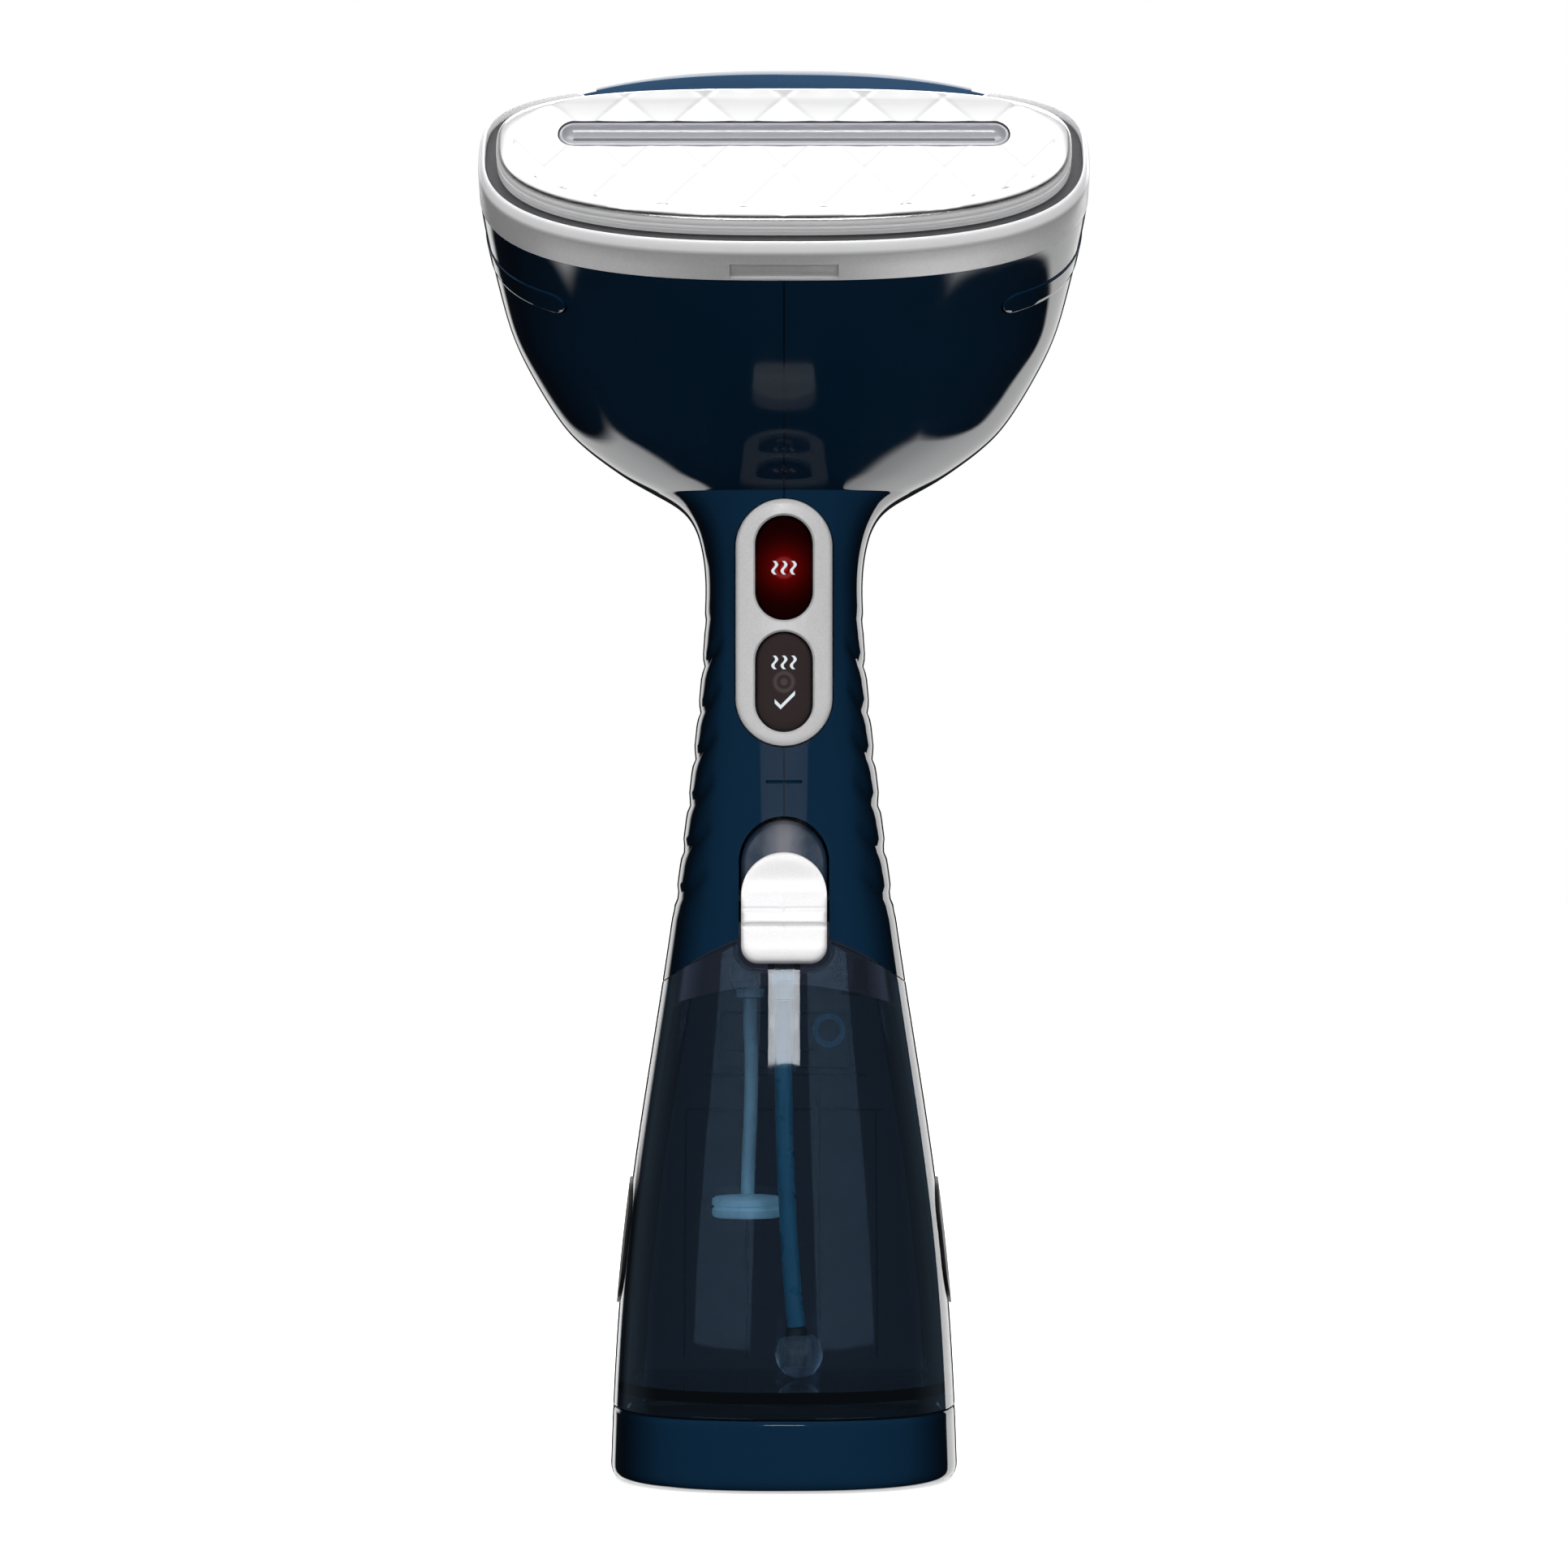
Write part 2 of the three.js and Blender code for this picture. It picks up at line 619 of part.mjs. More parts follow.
function addLatch() {
  const { half, low, high, proud, depth } = LATCH;
  const corner = 4;
  const sides = new THREE.Shape();
  sides.moveTo(-half + corner, low);
  sides.lineTo(half - corner, low);
  sides.absarc(half - corner, low + corner, corner, -Math.PI / 2, 0, false);
  sides.lineTo(half, high - half);
  sides.absarc(0, high - half, half, 0, Math.PI, false);
  sides.lineTo(-half, low + corner);
  sides.absarc(-half + corner, low + corner, corner, Math.PI, 1.5 * Math.PI, false);
  const points = sides.extractPoints(4).shape;
  const lug = box(-2.4, 2.4, depth - 0.5, depth + 3.8, -2, 2);
  const rib = box(-half + 1, half - 1, -proud - 0.9, -proud + 0.5, -4, -0.8);
  const slider = extrudeY(new THREE.Shape(points), -proud, depth).add(lug).add(rib);
  addPart("latch_slider", slider, metal(SILVER, 0.4), latch);

  const slot = box(-2.9, 2.9, 0, 12, -6, 14);
  const guide = extrudeY(uprightStadium(0, 20.6, -12, 21.2), depth + GAP, depth + GAP + 4.2)
    .subtract(slot);
  addPart("latch_guide", guide, plastic(0x46586e, 0.4), latch);

  const coil = spring(1.5, 0.6, 2 + GAP, 13.6, 5);
  coil.translate(0, depth + 2.4, 0);
  addPart("latch_spring", coil, metal(0xb8b8b8, 0.3), latch);
}

// ---- rear controls, guessed from what the object needs ----

function addTrigger() {
  const { width, low, high, face, back, pivotY, pivotZ } = TRIGGER;
  const pad = extrudeY(uprightStadium(0, width, low, high), back, face);
  const ears = box(-6, 6, pivotY - 2.5, back + 1, pivotZ - 5, pivotZ + 2.4);
  const trigger = pad.add(ears).subtract(cylinder("x", 1.8, -20, 20, { y: pivotY, z: pivotZ }, 16));
  addPart("steam_trigger", trigger, plastic(0x9fa3a8, 0.35));
  const pinSeat = { y: pivotY, z: pivotZ };
  addPart("trigger_pin", cylinder("x", 1.4, -8.8, 8.8, pinSeat, 12), metal(SILVER));
  const bracket = box(-8.5, 8.5, 15, 17, 191, 219)
    .add(box(-8.5, -6.6, 16, 22, 211, 219))
    .add(box(6.6, 8.5, 16, 22, 211, 219))
    .subtract(cylinder("x", 1.4 + GAP, -20, 20, pinSeat, 12));
  addPart("trigger_bracket", bracket, plastic(0x202428, 0.5));
  addPart("microswitch", box(-4, 4, 8, 18, 178, 190), plastic(BLACK, 0.5));
  const coil = spring(2, 0.7, 17 + GAP, back - GAP, 4);
  coil.rotateX(-Math.PI / 2);
  coil.translate(0, 0, 196);
  addPart("trigger_spring", coil, metal(0xb8b8b8, 0.3));
}

function addPowerSwitch() {
  const { width, low, high, proud } = POWER_KNOB;
  const face = bodyAt(high)[2] + proud;
  const knob = box(-width / 2, width / 2, 23.5, face, low, high);
  addPart("power_slider", knob, plastic(0x9fa3a8, 0.35));
  addPart("switch_body", box(-6.5, 6.5, 14.5, 23.2, 144, 164), plastic(BLACK, 0.5));
}

// ---- pump and its hoses ----

const PUMP = { y: -2, low: 146, high: 186, radius: 9.5 };

function addPump() {
  const { y, low, high, radius } = PUMP;
  const body = tube("z", radius, 3.6, low, high, { y });
  addPart("pump_body", body, plastic(0xd9d6cc, 0.5));
  addPart("pump_plunger", cylinder("z", 3.2, low + 6, high - 6, { y }, 16), metal(0xb0b0b0));
  const frame = box(-12, 12, y - 12, y + 12, low + 12, low + 16)
    .subtract(cylinder("z", radius + GAP, low, high, { y }));
  addPart("pump_bracket", frame, metal(0xa0a4a8, 0.5));
  const rise = [
    [0, y, high + GAP],
    [0, y, high + 14],
    [-3, y + 2, 212],
    [-8, y + 4, 236],
    [-14, -12, 258],
    [-20, -34, 276],
    [-22, -48, 286],
  ];
  addPart("boiler_inlet_hose", hose(rise, 5, 16), plastic(0xe6e2d4, 0.5));
  const feed = [
    [0, 25, COUPLER_Z],
    [0, 26.5, COUPLER_Z],
    [0, 28.6, COUPLER_Z + 2],
    [0, 29.5, COUPLER_Z + 6],
    [0, 26.5, 121],
    [0, 17, 127.5],
    [0, 5, 133],
    [0, y, low - GAP],
  ];
  addPart("supply_hose", hose(feed, 4.6, 14), plastic(0xe6e2d4, 0.5));
}

// ---- dock, coupler, foot and cord gland ----

const COUPLER_Z = 108;

function addDock() {
  const lining = bodySolid(FOOT_TOP - 1, -WALL - GAP);
  const wall = box(-60, 60, PANEL_FRONT, PANEL_FRONT + 2, FOOT_TOP + 1.5, 126);
  const roof = underArch(ARCH, 3, 100, -60, PANEL_FRONT + 2)
    .subtract(underArch(ARCH, 0.8, 90, -60, PANEL_FRONT));
  const latchWay = box(-12, 12, -60, -14, 100, 150);
  const bosses = cylinder("y", 3.9, 10, 30, { z: COUPLER_Z });
  const hoseWay = box(-4, 4, -8, PANEL_FRONT + 5, 118, 150);
  let frame = wall.add(roof.subtract(latchWay)).intersect(lining);
  frame = frame.subtract(bosses).subtract(hoseWay);
  addPart("dock_frame", frame, plastic(0x1c2430, 0.4));

  const boss = tube("y", 4.15, 2.9, 16.4, PANEL_FRONT - GAP, { x: 11.3, z: 106 });
  addPart("dock_boss", boss, plastic(0x24405c, 0.3));

  const coupler = tube("y", 3.6, 1.6, 16.4, 24.6, { z: COUPLER_Z }, 16);
  addPart("dock_coupler", coupler, plastic(0xd0d0cc, 0.4));
}

function addFoot() {
  const rise = 0.5;
  const rings = [
    [rise, -1.6],
    [rise + 0.7, -0.6],
    [rise + 2.2, 0],
    [FOOT_TOP, 0],
  ].map(([z, grow]) => levelRing(z, grow));
  const hollow = columnSolid(3.2, FOOT_TOP - 2.4, -2.6);
  const wiringWay = box(-12, 12, 24, 36, 10, 20);
  const padRecess = columnSolid(-1, 2, -7 + GAP);
  const gland = cylinder("y", 5.2 + GAP, 38, 60, { z: 9 });
  const foot = loft(rings).subtract(hollow).subtract(wiringWay).subtract(padRecess).subtract(gland);
  addPart("base_foot", foot, plastic(NAVY));
  addPart("foot_pad", columnSolid(0, 2 - GAP, -7), plastic(0x1a1a1c, 0.9));
  const collar = tube("y", 5.2, 2.6, 40, 49.5, { z: 9 }, 16).add(tube("y", 6.6, 2.6, 46.6, 48.4, { z: 9 }, 16));
  addPart("cord_gland", collar, plastic(0x18181a, 0.8));
}

// ---- water tank ----

const VENT_X = -8.3;
const VENT_Y = 1;
const HOSE_Y = -10;
const PAD_SPAN = { y0: -12, y1: 8, z0: 41, z1: 72 };

function padPrism(grow) {
  const { y0, y1, z0, z1 } = PAD_SPAN;
  const radius = (y1 - y0) / 2 + grow;
  const middle = (y0 + y1) / 2;
  const shape = stadium([middle, z0 + radius - grow], [middle, z1 - radius + grow], radius);
  return extrudeX(shape, 20, 60);
}

// The way down into the tank's top that the latch's foot drops into.
function latchNotch(grow) {
  const half = LATCH_NOTCH.half + grow;
  const low = LATCH_NOTCH.low - grow;
  const corner = LATCH_NOTCH.corner + grow;
  const shape = new THREE.Shape();
  shape.moveTo(-half + corner, low);
  shape.lineTo(half - corner, low);
  shape.absarc(half - corner, low + corner, corner, -Math.PI / 2, 0, false);
  shape.lineTo(half, 200);
  shape.lineTo(-half, 200);
  shape.lineTo(-half, low + corner);
  shape.absarc(-half + corner, low + corner, corner, Math.PI, 1.5 * Math.PI, false);
  return extrudeY(new THREE.Shape(shape.extractPoints(5).shape), -70, 40);
}

function addTank() {
  const body = columnSolid(TANK_LOW, 140, 0);
  const hollow = columnSolid(TANK_FLOOR, 142, -TANK_WALL);
  const front = box(-60, 60, -70, TANK_BACK, 0, 200);
  const hollowFront = box(-60, 60, -70, TANK_BACK - TANK_WALL, 0, 200);
  const recess = columnSolid(15, UNDERSIDE.top, -UNDERSIDE.rim)
    .add(box(-UNDERSIDE.wayHalf, UNDERSIDE.wayHalf, 0, 30, 15, UNDERSIDE.top));
  const padPocket = padPrism(0).subtract(columnSolid(20, 90, -0.9));
  const shell = body
    .intersect(front)
    .intersect(underArch(ARCH, -GAP / 2, 0, -70, 40))
    .subtract(hollow.intersect(hollowFront))
    .subtract(latchNotch(0))
    .subtract(recess)
    .subtract(padPocket)
    .subtract(padPocket.mirror([1, 0, 0]));
  addPart("tank_shell", shell, plastic(0x1b2733, 0.1));

  const pad = padPrism(-GAP).intersect(columnSolid(20, 90, 0.6)).subtract(columnSolid(18, 92, -0.6));
  addPart("tank_grip_right", pad, plastic(BLACK, 0.7));
  addPart("tank_grip_left", pad.mirror([1, 0, 0]), plastic(BLACK, 0.7));

  const lidBody = columnSolid(100, 140, -TANK_WALL - GAP)
    .intersect(box(-60, 60, -70, TANK_BACK - TANK_WALL - GAP, 0, 200))
    .intersect(underArch(ARCH, -1, 0, -70, 40))
    .subtract(underArch(CEILING, 0, 0, -80, 50))
    .subtract(latchNotch(1));
  const plugHole = cylinder("z", 4.2 + GAP, 100, 140, { x: 17.5, y: -2 });
  const elbowHole = cylinder("z", 2.2 + GAP, 100, 140, { x: VENT_X, y: VENT_Y });
  const intakeHole = cylinder("z", 2.4 + GAP, 100, 140, { x: 0, y: HOSE_Y });
  const lid = lidBody.subtract(plugHole).subtract(elbowHole).subtract(intakeHole);
  addPart("tank_lid", lid, plastic(0x232c38, 0.3));
  addPart("fill_plug", cylinder("z", 4.2, 115.5, 123.5, { x: 17.5, y: -2 }), plastic(0x30343a, 0.8));
}

// Hoses that hang in the tank, each with what is on it.
const VENT_ROUTE = [
  [VENT_X, VENT_Y, 114.4],
  [VENT_X, VENT_Y, 111.2],
  [VENT_X, VENT_Y + 0.05, 108],
  [VENT_X + 0.1, VENT_Y + 0.1, 105],
  [VENT_X + 0.25, VENT_Y + 0.15, 102],
  [VENT_X + 0.3, VENT_Y + 0.2, 99],
  [VENT_X + 0.3, VENT_Y + 0.2, 96],
  [VENT_X + 0.27, VENT_Y + 0.2, 93],
  [VENT_X + 0.2, VENT_Y + 0.15, 90],
  [VENT_X + 0.1, VENT_Y + 0.1, 87],
  [VENT_X, VENT_Y + 0.05, 84],
  [VENT_X - 0.12, VENT_Y, 81],
  [VENT_X - 0.25, VENT_Y, 78],
  [VENT_X - 0.38, VENT_Y, 75],
  [VENT_X - 0.5, VENT_Y, 71],
  [VENT_X - 0.6, VENT_Y, 67.2],
];
const INTAKE_ROUTE = [
  [0, HOSE_Y, 114.4],
  [-0.05, HOSE_Y, 110],
  [-0.1, HOSE_Y - 0.05, 105],
  [-0.1, HOSE_Y - 0.1, 100],
  [-0.08, HOSE_Y - 0.15, 95],
  [0, HOSE_Y - 0.2, 90],
  [0.1, HOSE_Y - 0.2, 85],
  [0.25, HOSE_Y - 0.2, 80],
  [0.4, HOSE_Y - 0.2, 75],
  [0.6, HOSE_Y - 0.15, 70],
  [0.85, HOSE_Y - 0.1, 65],
  [1.1, HOSE_Y - 0.05, 60],
  [1.38, HOSE_Y, 55],
  [1.72, HOSE_Y, 50],
  [2.12, HOSE_Y, 45],
  [2.5, HOSE_Y, 41],
  [3, HOSE_Y, 36.3],
];

function addTankHoses() {
  const elbowRise = cylinder("z", 2.2, 114.8, 121.6, { x: VENT_X, y: VENT_Y }, 16);
  const elbowFlange = cylinder("z", 3.4, 114.8, CEILING.top - 2.3, { x: VENT_X, y: VENT_Y }, 16);
  addPart("vent_elbow", elbowRise.add(elbowFlange), plastic(BLUE_CLEAR, 0.3));
  addPart("intake_stub", cylinder("z", 2.4, 114.8, 122, { y: HOSE_Y }, 16), plastic(BLUE_CLEAR, 0.3));
  addPart("vent_hose", hose(VENT_ROUTE, 3.3, 15), plastic(BLUE_CLEAR, 0.4));
  const disc = cylinder("z", 8.5, 61.6, 66.8, { x: VENT_X - 0.8, y: VENT_Y });
  addPart("vent_disc", disc, plastic(BLUE_CLEAR, 0.4));
  addPart("intake_hose", hose(INTAKE_ROUTE, 4.3, 16), plastic(BLUE_CLEAR, 0.4));
  const connector = cylinder("z", 2.7, 27.3, 36, { x: 3, y: HOSE_Y }, 16);
  addPart("intake_connector", connector, plastic(BLACK, 0.5));
  const ball = new THREE.SphereGeometry(5.7, 16, 10);
  ball.rotateX(Math.PI / 2);
  ball.translate(3.6, HOSE_Y, TANK_FLOOR + GAP + 5.7);
  const weight = solidOf(ball).subtract(cylinder("z", 2.7 + GAP, 27, 40, { x: 3, y: HOSE_Y }, 16));
  addPart("intake_weight", weight, plastic(0xb8c4cc, 0.2));
}

addHousing();
addTopShell();
addRim();
addPlateAndBoiler();
addIndicators();
addLatch();
addTrigger();
addPowerSwitch();
addPump();
addDock();
addFoot();
addTank();
addTankHoses();

export default steamer;
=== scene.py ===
"""Looks of a handheld garment steamer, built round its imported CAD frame. Metres, +Z up, plate towards -Y."""

import json
import math

import bpy
import numpy as np
from mathutils import Matrix, Vector

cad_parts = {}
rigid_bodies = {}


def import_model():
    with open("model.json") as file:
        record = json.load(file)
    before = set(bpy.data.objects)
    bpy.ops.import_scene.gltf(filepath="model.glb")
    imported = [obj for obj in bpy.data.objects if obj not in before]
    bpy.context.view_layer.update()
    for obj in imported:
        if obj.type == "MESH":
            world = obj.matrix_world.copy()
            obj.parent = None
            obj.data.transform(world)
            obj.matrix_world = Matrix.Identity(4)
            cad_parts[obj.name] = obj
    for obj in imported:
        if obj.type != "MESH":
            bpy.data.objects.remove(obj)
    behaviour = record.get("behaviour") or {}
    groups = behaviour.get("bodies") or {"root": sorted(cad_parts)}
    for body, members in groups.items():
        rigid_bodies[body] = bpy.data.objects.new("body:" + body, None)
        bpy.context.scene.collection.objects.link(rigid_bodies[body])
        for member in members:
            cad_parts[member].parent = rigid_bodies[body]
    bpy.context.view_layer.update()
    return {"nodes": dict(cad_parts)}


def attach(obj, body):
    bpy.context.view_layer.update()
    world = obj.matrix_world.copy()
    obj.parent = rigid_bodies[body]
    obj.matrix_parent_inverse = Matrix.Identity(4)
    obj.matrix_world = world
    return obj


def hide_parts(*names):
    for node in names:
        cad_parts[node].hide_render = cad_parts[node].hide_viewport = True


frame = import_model()

MM = 0.001
FRAME_NODES = frame["nodes"]

# ---- driving dimensions, in millimetres like the design ----

WALL = 2.4
GAP = 0.3
NECK_Z = 236.0
TILT = math.radians(55)
FAN = (-114.8, NECK_Z)
CHIN_FOOT = (-25.0, NECK_Z)
CHIN_TOP = (-84.0, 280.0)
SWEEP = 110.0  # length along the head's side from the neck to the plate end
PLATE_CENTRE = (0.0, -83.2, 309.3)
RISE = 3.5
PLATE = dict(half=65.3, low=24.0, high=17.0, powers=(2.65, 2.95))
RIM = dict(half=69.6, low=28.0, high=22.0, powers=(2.65, 3.3))
FOOT_TOP = 17.3
TANK_BACK = 15.7
TANK_WALL = 2.6
TANK_FLOOR = 23.6
ARCH = (131.7, 13.0, 29.3, 1.8)
CEILING = (118.9, 6.3, 28.0, 2.0)
LATCH_PLACE = (0.0, -28.5, 137.1)
LATCH_LEAN = math.radians(-6.6)


# ---- camera, lights and stage ----

CAMERA_DISTANCE = 1.3
CAMERA_HEIGHT = 0.1663
FOCAL_MM = 123.54  # on a 36 mm sensor


# Where the studio is bright, by direction: from, to, value before, value after.
BACK_STRENGTH = (0.45, 0.97, 5.6, 1.7)
BACK_FLAG = (0.955, 0.975, 1.0, 0.0)  # a dark line straight behind, which draws the outlines
BACK_LEFT = (0.40, 0.46, 0.0, 1.0)
BACK_LEFT_EDGE = (0.36, 0.44, 1.0, 0.0)
BACK_RIGHT = (0.29, 0.35, 0.0, 1.0)
BACK_RIGHT_LAG = 1.3
BACK_RIGHT_FROM = 0.26  # further out than this the right side starts later
BACK_RIM = (0.82, 0.91, 0.0, 1.0)  # towards the silhouettes of upright walls
BACK_RIM_TILT = 3.0
BACK_THROUGH = 0.04  # share of the back light that clear parts pass on
OVERHEAD_LIGHT = (0.6, 0.75, 0.0, 1.25)
OVERHEAD_FADE = (-0.22, 0.05, 1.0, 0.55)
ROOM_LIGHT = 0.012


def make_camera():
    data = bpy.data.cameras.new("camera")
    data.lens = FOCAL_MM
    data.sensor_width = 36
    data.clip_end = 30
    camera = bpy.data.objects.new("camera", data)
    camera.location = (0, -CAMERA_DISTANCE, CAMERA_HEIGHT)
    camera.rotation_euler = (math.pi / 2, 0, 0)
    bpy.context.scene.collection.objects.link(camera)
    bpy.context.scene.camera = camera


def area_light(name, place, target, size, power):
    data = bpy.data.lights.new(name, "AREA")
    data.shape = "RECTANGLE"
    data.size, data.size_y = size
    data.energy = power
    light = bpy.data.objects.new(name, data)
    light.location = place
    aim = Vector(target) - Vector(place)
    light.rotation_euler = aim.to_track_quat("-Z", "Y").to_euler()
    bpy.context.scene.collection.objects.link(light)
    return light


def make_world():
    """A white studio: bright behind and overhead, dark in front, and plain white past the object."""
    world = bpy.data.worlds.new("studio")
    world.use_nodes = True
    n = Nodes(world.node_tree)
    background = n.tree.nodes["Background"]

    def smooth(*numbers):
        return n.ramp(*numbers, "SMOOTHSTEP")

    direction = n.add("ShaderNodeTexCoord").outputs["Generated"]
    parts = n.add("ShaderNodeSeparateXYZ", {"Vector": direction})
    ahead, up = parts.outputs["Y"], parts.outputs["Z"]
    across = parts.outputs["X"]
    left = n.times(across, -1.0)
    left_side = n.times(smooth(ahead, *BACK_LEFT), smooth(left, *BACK_LEFT_EDGE))
    outer = n.math("MAXIMUM", n.math("SUBTRACT", across, BACK_RIGHT_FROM), 0.0)
    lagged = n.math("SUBTRACT", ahead, n.times(outer, BACK_RIGHT_LAG))
    right_side = smooth(lagged, *BACK_RIGHT)
    left_side = n.times(left_side, n.math("GREATER_THAN", left, 0.0))
    right_side = n.times(right_side, n.math("GREATER_THAN", across, 0.0))
    sides = n.math("ADD", left_side, right_side)
    tilted = n.math("ADD", ahead, n.times(n.math("MINIMUM", up, 0.0), BACK_RIM_TILT))
    edges = n.times(smooth(tilted, *BACK_RIM), smooth(ahead, *BACK_LEFT))
    backdrop = n.times(n.math("MAXIMUM", sides, edges), smooth(ahead, *BACK_STRENGTH))
    backdrop = n.times(backdrop, smooth(ahead, *BACK_FLAG))
    path = n.add("ShaderNodeLightPath")
    through = smooth(path.outputs["Is Transmission Ray"], 0, 1, 1, BACK_THROUGH)
    backdrop = n.times(backdrop, through)
    overhead = n.times(smooth(up, *OVERHEAD_LIGHT), smooth(ahead, *OVERHEAD_FADE))
    studio = n.math("ADD", n.math("MAXIMUM", backdrop, overhead), ROOM_LIGHT)
    seen = path.outputs["Is Camera Ray"]
    n.tree.links.new(n.math("MAXIMUM", studio, seen), background.inputs["Strength"])
    background.inputs["Color"].default_value = (1, 1, 1, 1)
    bpy.context.scene.world = world
    bpy.context.scene.view_settings.view_transform = "Standard"


def stage_card(name, corners, colour, strength):
    mesh = bpy.data.meshes.new(name)
    mesh.from_pydata([Vector(c) for c in corners], [], [(0, 1, 2, 3)])
    card = bpy.data.objects.new(name, mesh)
    bpy.context.scene.collection.objects.link(card)
    material = bpy.data.materials.new(name)
    material.use_nodes = True
    shader = material.node_tree.nodes["Principled BSDF"]
    shader.inputs["Base Color"].default_value = (*colour, 1)
    shader.inputs["Roughness"].default_value = 1
    shader.inputs["Specular IOR Level"].default_value = 0
    shader.inputs["Emission Color"].default_value = (1, 1, 1, 1)
    shader.inputs["Emission Strength"].default_value = strength
    mesh.materials.append(material)
    return card


# ---- numbers ----

def cubic(xs, ys):
    """A natural cubic spline through the points, as a function of arrays."""
    xs, ys = np.array(xs, float), np.array(ys, float)
    h = np.diff(xs)
    n = len(xs)
    a, b = np.eye(n), np.zeros(n)
    for i in range(1, n - 1):
        a[i, i - 1 : i + 2] = h[i - 1], 2 * (h[i - 1] + h[i]), h[i]
        b[i] = 6 * ((ys[i + 1] - ys[i]) / h[i] - (ys[i] - ys[i - 1]) / h[i - 1])
    m = np.linalg.solve(a, b)

    def value(x):
        x = np.clip(np.asarray(x, float), xs[0], xs[-1])
        i = np.clip(np.searchsorted(xs, x) - 1, 0, n - 2)
        left, right = xs[i + 1] - x, x - xs[i]
        curve = (m[i] * left**3 + m[i + 1] * right**3) / (6 * h[i])
        curve = curve + (ys[i] / h[i] - m[i] * h[i] / 6) * left
        return curve + (ys[i + 1] / h[i] - m[i + 1] * h[i] / 6) * right

    return value


def step(x, low, high):
    """A smooth 0 to 1 step between two values."""
    t = np.clip((np.asarray(x, float) - low) / (high - low), 0, 1)
    return t * t * (3 - 2 * t)


# ---- the body's surface ----

# Height against half width, then depths in front of and behind the axis.
HALF_WIDTH = cubic(
    [-236, -219, -195, -164, -117, -77, -42, -30, -20, -12, -7, -3, 0, 3]
    + [6, 10, 15, 22, 32, 45, 60, 80, 100, 113],
    [41.8, 41.2, 39.8, 36.5, 29.3, 23.7, 20.0, 19.16, 19.02, 20.18, 22.11, 25.75, 30.81, 36.47]
    + [40.93, 45.86, 50.65, 55.01, 59.47, 63.7, 66.3, 68.29, 69.37, 69.62],
)
LEVELS = [0, 17, 41, 72, 119, 159, 194, 210, 222, 231, 236]
FRONT = cubic(
    [0, 17, 41, 72, 100, 119, 135, 150, 172, 194, 210, 222, 231, 236],
    [41.8, 41.4, 40.1, 36.95, 33.5, 31.1, 29.1, 27.6, 26.1, 25.0, 24.6, 24.7, 24.9, 25.0],
)
BACK = cubic(LEVELS, [46.0, 45.4, 43.8, 40.5, 34.5, 29.4, 26.8, 26.4, 26.5, 26.9, 27.2])
SQUARENESS = cubic([-236, -164, -117, -77, -42, 0, 40, 113], [2.5, 2.5, 2.6, 3.0, 3.4, 3.0, 2.7, 2.62])


def angles(count):
    return np.arange(count) * 2 * math.pi / count


def circle(across, up, radius, sides):
    turn = angles(sides)
    return np.stack([across + radius * np.cos(turn), up + radius * np.sin(turn)], axis=1)


def at_height(outline, z):
    """A flat outline as a ring of points at a height."""
    return np.stack([outline[:, 0], outline[:, 1], np.full(len(outline), z)], axis=1)


def superellipse(half, low, high, powers, turn):
    """Points (across, up), with the semi-axes below and above the widest line apart."""
    c, s = np.cos(turn), np.sin(turn)
    power = np.where(s >= 0, 2 / powers[1], 2 / powers[0])
    across = half * np.sign(c) * np.abs(c) ** power
    up = np.where(s >= 0, high, low) * np.sign(s) * np.abs(s) ** power
    return across, up


# The head's top over the fan's centre: at the neck, its fall to the plate, and the fall's power.
CROWN = (142, 26.6, 2.1)
WIDEST = (0.479, 0.027)  # where a head section is widest, as a share of its height, and its drift


def chin_radius(angle):
    run = (CHIN_TOP[0] - CHIN_FOOT[0], CHIN_TOP[1] - CHIN_FOOT[1])
    offset = (CHIN_FOOT[0] - FAN[0], CHIN_FOOT[1] - FAN[1])
    cross = math.cos(angle) * run[1] - math.sin(angle) * run[0]
    return (offset[0] * run[1] - offset[1] * run[0]) / cross


def body_ring(s, grow, turn):
    """One ring of the body: a level section below the neck, a fanned one in the head."""
    power = float(SQUARENESS(s))
    half = float(HALF_WIDTH(s))
    if s <= 0:
        z = NECK_Z + s
        x, y = superellipse(half + grow, float(FRONT(z)) + grow, float(BACK(z)) + grow, (power,) * 2, turn)
        return at_height(np.stack([x, y], axis=1), z)
    t = s / SWEEP
    angle = t * TILT
    chin = chin_radius(angle)
    crown = CROWN[0] - CROWN[1] * min(t, 1.0) ** CROWN[2]
    middle = chin + (crown - chin) * (WIDEST[0] - WIDEST[1] * t)
    x, r = superellipse(half + grow, middle - chin + grow, crown - middle + grow, (power,) * 2, turn)
    r = middle + r
    return np.stack([x, FAN[0] + r * math.cos(angle), FAN[1] + r * math.sin(angle)], axis=1)


GRIP_PITCH = 11.0
GRIP_TOP = 203.0


def grip_depth(z, turn):
    """How far the finger grips sink the handle's flanks."""
    c = np.abs(np.cos(turn))
    flank = step(c ** 0.66, 0.66, 0.86)
    zone = step(z, 134.2, 135.2) * (1 - step(z, GRIP_TOP - 2, GRIP_TOP + 6))
    lag = z + 5.0 * step(c, 0.6, 1.0) - 139
    phase = (lag / GRIP_PITCH) % 1.0
    scallop = 0.2 + 0.8 * np.exp(-(((phase - 0.5) / 0.13) ** 2))
    return 0.8 * flank * zone * scallop


# ---- meshes ----

